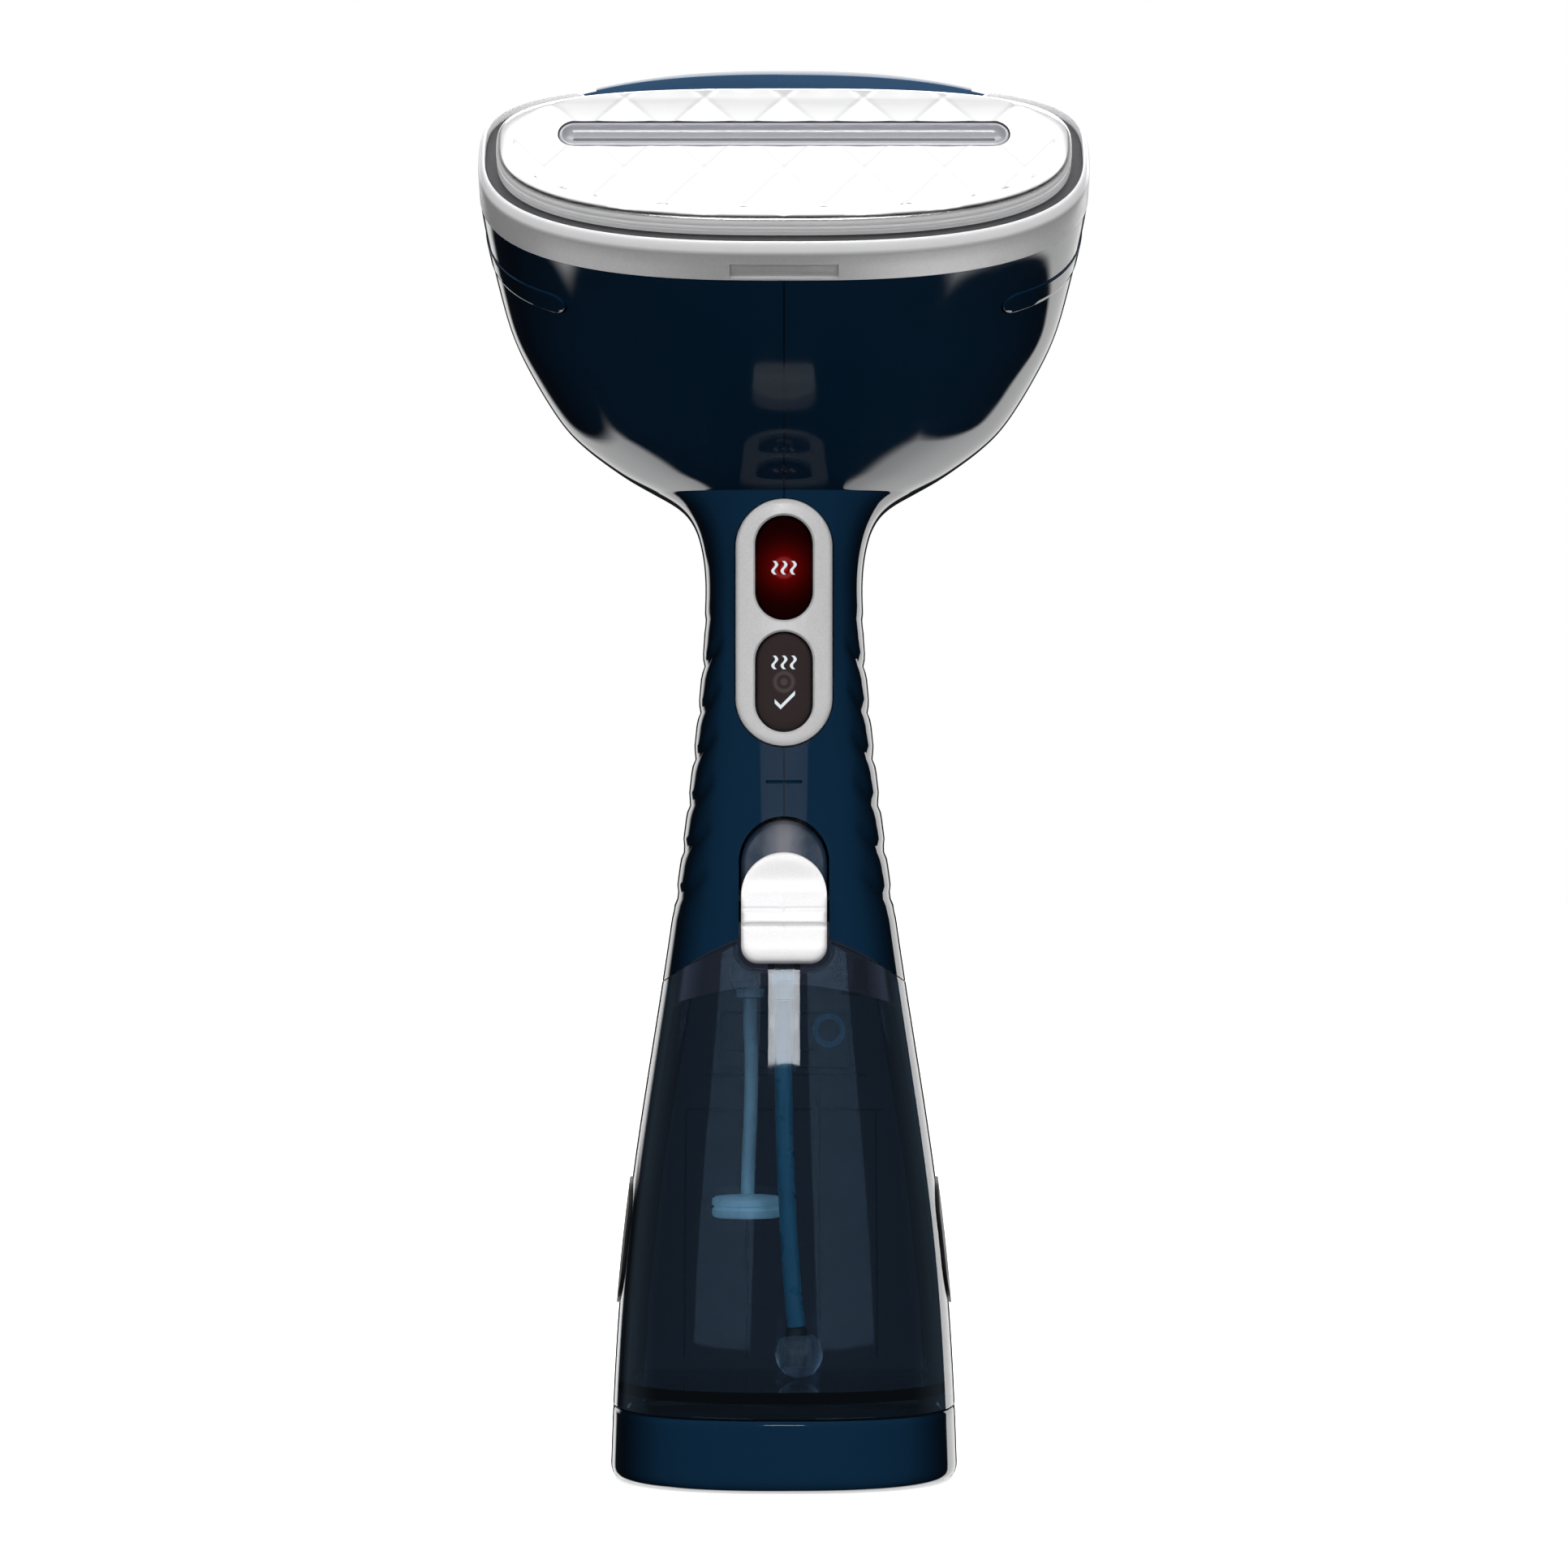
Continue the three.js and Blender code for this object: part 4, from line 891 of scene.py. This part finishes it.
def make_plate():
    nx, ny = 220, 76
    xs, ys = np.linspace(-68, 68, nx), np.linspace(-23, 23, ny)
    gx, gy = np.meshgrid(xs, ys)
    top = np.stack([gx, gy, quilt_height(gx, gy)], axis=2).reshape(-1, 3)
    base = np.stack([gx, gy, np.full_like(gx, -12.0)], axis=2).reshape(-1, 3)
    faces = []
    for j in range(ny - 1):
        for i in range(nx - 1):
            q = (j * nx + i, j * nx + i + 1, (j + 1) * nx + i + 1, (j + 1) * nx + i)
            faces.append(q)
            faces.append(tuple(nx * ny + k for k in q[::-1]))
    edge = list(range(nx)) + [j * nx + nx - 1 for j in range(1, ny)]
    edge += [(ny - 1) * nx + i for i in range(nx - 2, -1, -1)] + [j * nx for j in range(ny - 2, 0, -1)]
    for a, b in zip(edge, edge[1:] + edge[:1]):
        faces.append((b, a, a + nx * ny, b + nx * ny))
    plate = new_object("steam_plate", np.concatenate([top, base]), faces)
    profile = [(1.6, -8), (1.6, -5.4), (0.2, -5.3), (0, -5.1), (0, -3.7), (0.2, -3.5), (0, -3.3), (0, -2.0)]
    profile += [(0.2, -1.4), (0.7, -0.75), (1.4, -0.35), (2.4, -0.12), (4.0, 0.0), (5.0, 0.6)]
    keep(plate, loft("edge", [at_height(outline_of(PLATE, -amount), z) for amount, z in profile]))
    cut(plate, outline_prism("slot", stadium(*SLOT_ENDS, SLOT_RADIUS + GAP), -20, 5, "z"))
    in_head(plate)
    finish_piece(plate, "plate", "housing", "steam_plate", angle=24)

    inner, outer = outline_of(PLATE, -1.5), outline_of(RIM, -1.8)
    rings = [at_height(o, z) for o, z in ((inner, -8), (outer, -8), (outer, -6.6), (inner, -6.6))]
    gasket = loft("plate_gasket", rings, loop=True)
    cut(gasket, block("open_top", -43.6, 43.6, 12, 50, -20, 0))
    in_head(gasket)
    finish_piece(gasket, "groove", "housing", "plate_gasket")

    outline = stadium(*SLOT_ENDS, SLOT_RADIUS, 20)
    profile = [(0, -3.4), (0, -0.4), (0.25, -0.15), (0.6, -0.25), (0.8, -0.7)]
    profile += [(1.1, -1.2), (2.1, -1.8), (3.1, -2.1), (3.3, -3.4)]
    rings = [at_height(inset(outline, amount), z) for amount, z in profile]
    trim = in_head(loft("slot_trim", rings, loop=True))
    finish_piece(trim, "slot", "housing", "slot_trim")


# ---- indicators ----

WINDOWS = {"turbo": (205.1, 229.95), "ready": (178.6, 202.4)}


def bend_to_handle(obj):
    """Lets a flat front piece follow the handle's rounded front."""
    depth, reach = 1.3, 11.5
    for v in obj.data.vertices:
        v.co.y += depth * MM * (v.co.x / (reach * MM)) ** 2
    return obj


def make_bezel():
    outline = upright(23, 175.2, 233.9, 40)
    profile = [(0, 23.4), (0, 25.5), (0.2, 25.9), (0.7, 26.15), (1.4, 26.2), (3, 26.2), (6, 26.2), (9, 26.2)]
    bezel = pillow("handle_bezel", outline, profile)
    window = [(0, 20), (0, 25.7), (-0.25, 26.0), (-0.7, 26.4)]
    for low, high in WINDOWS.values():
        cut(bezel, pillow("window", upright(13.75, low, high, 40), window))
    bend_to_handle(bezel)
    finish_piece(bezel, "silver", "housing", "handle_bezel")


def lens_material(name, colour, centre, glow, prints):
    """Tinted plastic over an indicator lamp, with moulded rings round the lamp and printed pictograms."""
    n = Looks(name).set(Roughness=0.3, Specular_IOR_Level=0.0)

    def band(value, half):
        return n.ramp(n.math("ABSOLUTE", value), half - 0.00006, half + 0.00006, 1.0, 0.0)

    lamp = tuple(-c * MM for c in centre)
    place = n.add("ShaderNodeMapping", {"Vector": n.coordinates(), "Location": lamp})
    away = n.add("ShaderNodeVectorMath", {0: place.outputs["Vector"]}, operation="LENGTH").outputs["Value"]
    wave = n.math("SINE", n.times(away, 2 * math.pi / 0.0017))
    line = n.times(n.ramp(wave, -1.0, 1.0, 0.0, 1.0), n.ramp(away, 0.0028, 0.0031, 1.0, 0.0))
    lighter = tuple(min(1.0, 1.8 * c + 0.012) for c in colour)
    parts = n.add("ShaderNodeSeparateXYZ", {"Vector": place.outputs["Vector"]})
    across, up = parts.outputs["X"], parts.outputs["Z"]
    marks = None
    for kind, height in prints:
        raised = n.math("SUBTRACT", up, height * MM)
        if kind == "waves":
            sway = n.times(n.math("SINE", n.times(raised, 2100.0)), 0.00045)
            repeat = n.math("WRAP", n.math("SUBTRACT", across, sway), 0.0011, -0.0011)
            mark = n.times(band(repeat, 0.00036), band(raised, 0.0016))
            mark = n.times(mark, band(across, 0.0033))
        else:
            bend = n.math("ABSOLUTE", n.math("ADD", across, 0.0008))
            mark = band(n.math("SUBTRACT", n.math("ADD", raised, 0.0014), bend), 0.0005)
            mark = n.times(mark, band(n.math("SUBTRACT", across, 0.0002), 0.0024))
        marks = mark if marks is None else n.math("MAXIMUM", marks, mark)
    n.link(n.mix(marks, n.mix(line, colour, lighter), (0.72, 0.78, 0.82)), "Base Color")
    if glow:
        power = n.math("POWER", n.ramp(away, 0.0, 0.011, 1.0, 0.0), 2.6)
        lit = n.times(n.ramp(line, 0, 1, 0.7, 1.5), power)
        shown = n.times(lit, n.ramp(marks, 0.0, 1.0, glow, 0.0))
        n.set(Emission_Color=(0.75, 0.006, 0.004))
        n.link(shown, "Emission Strength")
    M[name] = n.material
    return name


def make_lenses():
    looks = {
        "turbo": ((0.008, 0.0005, 0.0005), 0.3, "red_lens", [("waves", 0.0)]),
        "ready": ((0.03, 0.022, 0.023), 0.0, "dark_lens", [("waves", 4.6), ("tick", -4.6)]),
    }
    for name, (low, high) in WINDOWS.items():
        colour, glow, slot, prints = looks[name]
        outline = upright(13.15, low + 0.3, high - 0.3, 40)
        profile = [(0, 23.2), (0, 24.3), (0.35, 24.75), (1.0, 25.1), (2.5, 25.3), (4.5, 25.38), (6.2, 25.4)]
        lens = bend_to_handle(pillow(f"{name}_lens", outline, profile))
        key = lens_material(f"{name}_lens", colour, (0, -25.4, (low + high) / 2), glow, prints)
        finish_piece(lens, key, "housing", f"{name}_lens")


# ---- latch ----

def latch_outline():
    """The slider's outline: a dome over a foot with rounded corners."""
    half, low, high, corner = 10.15, -13.1, 13.1, 4.0
    right = rounded_corner(half, low, corner, np.linspace(-math.pi / 2, 0, 16))
    arc = np.linspace(0, math.pi, 64)
    dome = np.stack([half * np.cos(arc), high - half + half * np.sin(arc)], axis=1)
    left = right[::-1] * (-1, 1)
    bottom = np.linspace(-half + corner, half - corner, 18)[1:-1]
    base = np.stack([bottom, np.full_like(bottom, low)], axis=1)
    return np.concatenate([right, dome, left, base])


def make_latch():
    profile = [(0, -2.2), (0, 0.6), (0.1, 1.2), (0.4, 1.7), (0.9, 1.95), (1.6, 2.0)]
    slider = pillow("latch_slider", resample(latch_outline(), 0.35), profile, spine=(-5.0, 3.0))
    for v in slider.data.vertices:
        z = v.co.z / MM
        face = float(step(-v.co.y / MM, 1.2, 1.9))
        ridge = 0.75 * float(step(z, -4.3, -3.7) - step(z, -1.4, -0.8))
        creases = 0.5 * math.exp(-(((z + 4.7) / 0.35) ** 2)) + 0.35 * math.exp(-(((z + 0.4) / 0.3) ** 2))
        dish = -0.75 * float(step(z, -0.6, 4.0)) * (1 - float(step(z, 5.5, 12.8)))
        belly = 0.45 * math.exp(-(((z + 9.4) / 3.0) ** 2))
        v.co.y -= face * (ridge - creases + dish + belly) * MM
    placed(slider, LATCH_PLACE, LATCH_LEAN)
    outline = resample(upright(20.6, -12, 21.2), 0.6)
    profile = [(0, -6.7), (0, -2.9), (0.2, -2.6), (0.8, -2.5)]
    guide = pillow("latch_guide", outline, profile, spine=(-1.7, 10.9))
    placed(guide, LATCH_PLACE, LATCH_LEAN)
    finish_piece(guide, "guide", "housing", "latch_guide")
    finish_piece(slider, "latch", "latch", "latch_slider", angle=50)


# ---- rear controls ----

def make_rear_controls():
    outline = resample(upright(17, 176, 221, 30), 0.5)
    profile = [(0, -22.6), (0, -28.6), (0.25, -29.5), (0.9, -30.1), (1.9, -30.3)]
    trigger = pillow("steam_trigger", outline, profile, spine=(184.5, 212.5))
    for v in trigger.data.vertices:
        z, y = v.co.z / MM, v.co.y / MM
        face = float(step(y, 29.0, 30.2))
        dish = 0.9 * math.exp(-(((z - 193) / 11) ** 2))
        ribs = 0.18 * math.cos(2 * math.pi * z / 3.0) * math.exp(-(((z - 192) / 9) ** 4))
        v.co.y -= face * (dish + ribs) * MM
        v.co.y -= 1.2 * MM * (v.co.x / (8.5 * MM)) ** 2 * float(step(y, 24, 27))
    finish_piece(trigger, "grey", "trigger", "steam_trigger")

    outline = stadium((0, 149.0), (0, 153.0), 2.5, 12)
    outline[:, 0] *= 1.75
    knob = pillow("power_slider", outline, [(0, -23.6), (0, -30.4), (0.3, -31.2), (0.9, -31.7), (1.8, -31.8)])
    finish_piece(knob, "grey", "power_knob", "power_slider")


# ---- foot ----

def make_foot():
    turn = angles(144)
    levels = [(0.5, -1.9), (0.62, -1.3), (0.9, -0.8), (1.5, -0.35), (2.3, -0.08), (3.2, 0)]
    levels += [(z, 0.0) for z in np.linspace(4.5, 15.8, 8)]
    levels += [(16.5, -0.06), (17.0, -0.28), (17.3, -0.8)]
    foot = loft("base_foot", [body_ring(z - NECK_Z, g, turn) for z, g in levels])
    cut(foot, body_solid("recess", -1 - NECK_Z, 2 - NECK_Z, -6.7, around=96, every=1.0))
    cut(foot, outline_prism("gland_way", circle(0, 9, 5.5, 40), 38, 60))
    finish_piece(foot, "navy", "housing", "base_foot")


# ---- tank ----

def column(name, low, high, grow, **options):
    return body_solid(name, low - NECK_Z, high - NECK_Z, grow, **options)


def in_front_of(y):
    return block("front", -60, 60, -70, y, 0, 200)


def pad_prism(grow):
    return outline_prism("pad_prism", stadium((-2, 51), (-2, 62), 10 + grow), 20, 60, "x")


def latch_notch(half, low, corner):
    """The way down into the tank's top that the latch's foot drops into."""
    right = rounded_corner(half, low, corner, np.linspace(-math.pi / 2, 0, 10))
    outline = np.concatenate([right, [(half, 200), (-half, 200)], right[::-1] * (-1, 1)])
    return outline_prism("latch_notch", outline, -70, 40)


def make_tank():
    shell = column("tank_shell", FOOT_TOP + GAP, 140, 0, every=2.0)
    keep(shell, in_front_of(TANK_BACK))
    keep(shell, under_arch("under", ARCH, -GAP / 2, 0, -70, 40))
    hollow = column("hollow", TANK_FLOOR, 142, -TANK_WALL, every=2.0)
    keep(hollow, in_front_of(TANK_BACK - TANK_WALL))
    recess = column("recess", 15, 20.8, -TANK_WALL - 0.6, every=2.0)
    join(recess, block("way_out", -26, 26, 0, 30, 15, 20.8))
    cut(shell, hollow, recess, latch_notch(10.9, 122.5, 4.6))
    finish_piece(shell, "smoke", "tank", "tank_shell")

    for side, name in ((1, "tank_grip_right"), (-1, "tank_grip_left")):
        pad = column(name, 30, 84, 0.6, every=2.0)
        cut(pad, column("inside", 28, 86, 0.05, every=2.0))
        keep(pad, on_side(side, pad_prism(-GAP)))
        finish_piece(pad, "black", "tank", name)

    lid = column("tank_lid", 100, 140, -TANK_WALL - GAP, every=2.0)
    keep(lid, in_front_of(TANK_BACK - TANK_WALL - GAP))
    keep(lid, under_arch("under", ARCH, -1, 0, -70, 40))
    cut(lid, under_arch("ceiling", CEILING, 0, 0, -80, 50), latch_notch(11.9, 121.5, 5.6))
    finish_piece(lid, "lid", "tank", "tank_lid")


# ---- hoses in the tank ----

VENT_X, VENT_Y, HOSE_Y = -8.3, 1.0, -10.0
HOSE_TOP = 114.4

# Each hose's route from the lid down: how far it strays from its line across and back, and its height.
VENT_STRAY = [
    (0, 0, HOSE_TOP), (0, 0, 111.2), (0, 0.05, 108), (0.1, 0.1, 105), (0.25, 0.15, 102), (0.3, 0.2, 99),
    (0.3, 0.2, 96), (0.27, 0.2, 93), (0.2, 0.15, 90), (0.1, 0.1, 87), (0, 0.05, 84), (-0.12, 0, 81),
    (-0.25, 0, 78), (-0.38, 0, 75), (-0.5, 0, 71), (-0.6, 0, 67.2),
]
INTAKE_STRAY = [
    (0, 0, HOSE_TOP), (-0.05, 0, 110), (-0.1, -0.05, 105), (-0.1, -0.1, 100), (-0.08, -0.15, 95),
    (0, -0.2, 90), (0.1, -0.2, 85), (0.25, -0.2, 80), (0.4, -0.2, 75), (0.6, -0.15, 70), (0.85, -0.1, 65),
    (1.1, -0.05, 60), (1.38, 0, 55), (1.72, 0, 50), (2.12, 0, 45), (2.5, 0, 41), (3, 0, 36.3),
]


def smooth_route(start, strays, per_span=5):
    """A smooth line through a route's points."""
    p = np.array([(start[0] + x, start[1] + y, z) for x, y, z in strays], float)
    along = np.concatenate([[0], np.cumsum(np.linalg.norm(np.diff(p, axis=0), axis=1))])
    at = np.interp(np.linspace(0, len(p) - 1, per_span * (len(p) - 1) + 1), range(len(p)), along)
    return np.stack([cubic(along, p[:, k])(at) for k in range(3)], axis=1)


def make_hose(name, start, strays, diameter, key):
    line = smooth_route(start, strays) * MM
    data = bpy.data.curves.new(name, "CURVE")
    data.dimensions = "3D"
    data.bevel_depth = diameter * MM / 2
    data.bevel_resolution = 6
    data.use_fill_caps = True
    spline = data.splines.new("POLY")
    spline.points.add(len(line) - 1)
    for point, place in zip(spline.points, line):
        point.co = (*place, 1)
    hose = bpy.data.objects.new(name, data)
    bpy.context.scene.collection.objects.link(hose)
    data.materials.append(M[key])
    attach(hose, "tank")
    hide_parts(name)
    return hose


def turned(name, profile, centre, sides=48):
    """A solid of revolution round a vertical axis, from (radius, height) steps."""
    return loft(name, [at_height(circle(*centre, radius, sides), z) for radius, z in profile])


def make_hoses():
    vent = make_hose("vent_hose", (VENT_X, VENT_Y), VENT_STRAY, 3.3, "hose")
    intake = make_hose("intake_hose", (0, HOSE_Y), INTAKE_STRAY, 4.3, "intake")
    profile = [(7.6, 61.6), (8.2, 61.8), (8.5, 62.3), (8.5, 63.6), (8.0, 63.9), (8.0, 64.4)]
    profile += [(8.5, 64.7), (8.4, 66.1), (7.6, 66.6), (4.0, 66.8), (2.6, 66.9)]
    disc = turned("vent_disc", profile, (VENT_X - 0.8, VENT_Y))
    finish_piece(disc, "disc", "tank", "vent_disc")
    profile = [(2.3, 27.3), (2.7, 27.8), (2.7, 30.5), (2.3, 30.8), (2.3, 31.6)]
    profile += [(2.7, 31.9), (2.7, 35.2), (2.4, 36)]
    connector = turned("intake_connector", profile, (3.0, HOSE_Y), 32)
    finish_piece(connector, "black", "tank", "intake_connector")
    arc = np.linspace(-math.pi / 2, math.pi / 2 * 0.62, 16)
    profile = [(max(0.05, 5.7 * math.cos(a)), 29.6 + 5.7 * math.sin(a)) for a in arc]
    weight = turned("intake_weight", profile, (3.6, HOSE_Y))
    cut(weight, turned("way", [(3.0, 27), (3.0, 40)], (3.0, HOSE_Y), 32))
    finish_piece(weight, "ball", "tank", "intake_weight")


def make_dock_relief():
    """The ledges, box and rails moulded on the dock's panel, which show through the tank."""
    low, high = 16.6, 18.4
    spans = [(-16.1, 16.9, 109.9, 110.5), (-16.1, 16.9, 96.5, 97.1), (-16.1, -15.5, 97, 110)]
    spans += [(16.3, 16.9, 97, 110), (-20.3, 21.3, 94.8, 95.4), (-16.1, 7.0, 100.6, 101.1)]
    spans += [(-25.0, 25.0, 86.4, 86.9), (-25.2, -24.7, 26, 86), (23.0, 23.5, 26, 86)]
    spans += [(-9.4, -9.0, 26, 93), (8.6, 9.0, 26, 93)]
    relief, *bars = (block("dock_relief", x0, x1, low, high, z0, z1) for x0, x1, z0, z1 in spans)
    for bar in bars:
        join(relief, bar)
    paint(relief, "relief")
    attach(relief, "housing")


# ---- CAD nodes that keep their own shape ----

KEPT = {
    "cast": ["boiler_cover", "boiler_block"],
    "steel": ["heating_element", "boiler_thermostat", "pump_plunger", "pump_bracket", "latch_spring",
              "trigger_pin", "trigger_spring", "housing_screw_1", "housing_screw_2", "housing_screw_3"],
    "natural": ["thermal_fuse", "boiler_inlet_hose", "supply_hose", "pump_body", "dock_coupler"],
    "board": ["indicator_board"],
    "frame": ["dock_frame", "trigger_bracket"],
    "hose": ["vent_elbow", "intake_stub"],
    "boss": ["dock_boss"],
    "black": ["foot_pad", "cord_gland", "microswitch", "switch_body", "fill_plug"],
    "led": ["turbo_led", "ready_led"],
}


def dress_kept_nodes():
    """The inner parts keep their CAD shapes and get their materials."""
    for key, nodes in KEPT.items():
        for node in nodes:
            paint(FRAME_NODES[node], key)


def only_on(light, key):
    """Keeps a light on the pieces of one material, as flags in a studio would."""
    pieces = bpy.data.collections.new(f"{light.name}_pieces")
    for obj in bpy.context.scene.objects:
        if obj.type == "MESH" and M[key].name in obj.data.materials:
            pieces.objects.link(obj)
    light.light_linking.receiver_collection = pieces


def make_stage():
    """A pale floor card, two broad fills, a strip for the tank's reflection and soft light from above."""
    floor = stage_card("floor", [(-6, -3, 0), (6, -3, 0), (6, 6, 0), (-6, 6, 0)], (0.9, 0.9, 0.9), 0.6)
    floor.visible_glossy = floor.visible_shadow = floor.visible_diffuse = floor.visible_transmission = False
    for name, x in (("fill_left", -0.85), ("fill_right", 0.85)):
        fill = area_light(name, (x, -1.35, 0.6), (0, 0, 0.17), (1.3, 1.1), 17)
        fill.visible_glossy = False
    area_light("front_strip", (0, -1.33, 0.405), (0, 0, 0.15), (0.23, 0.088), 1.0)
    for width in (0.08, 0.16, 0.25, 0.34):  # steps that soften the sides of the handle's highlight
        glow = area_light("front_glow", (0, -1.33, 0.322), (0, 0, 0.17), (width, 0.07), 0.2 * width)
        only_on(glow, "navy")
    top = area_light("top_light", (0, 0.2, 1.3), (0, -0.05, 0.3), (0.8, 0.6), 8)
    top.visible_glossy = top.visible_transmission = False


def main():
    make_camera()
    make_world()
    make_materials()
    dress_kept_nodes()
    make_hoses()
    top = make_housing()
    make_top_shell(top)
    make_insets()
    make_rim()
    make_plate()
    make_bezel()
    make_lenses()
    make_latch()
    make_rear_controls()
    make_foot()
    make_tank()
    make_dock_relief()
    make_stage()


main()
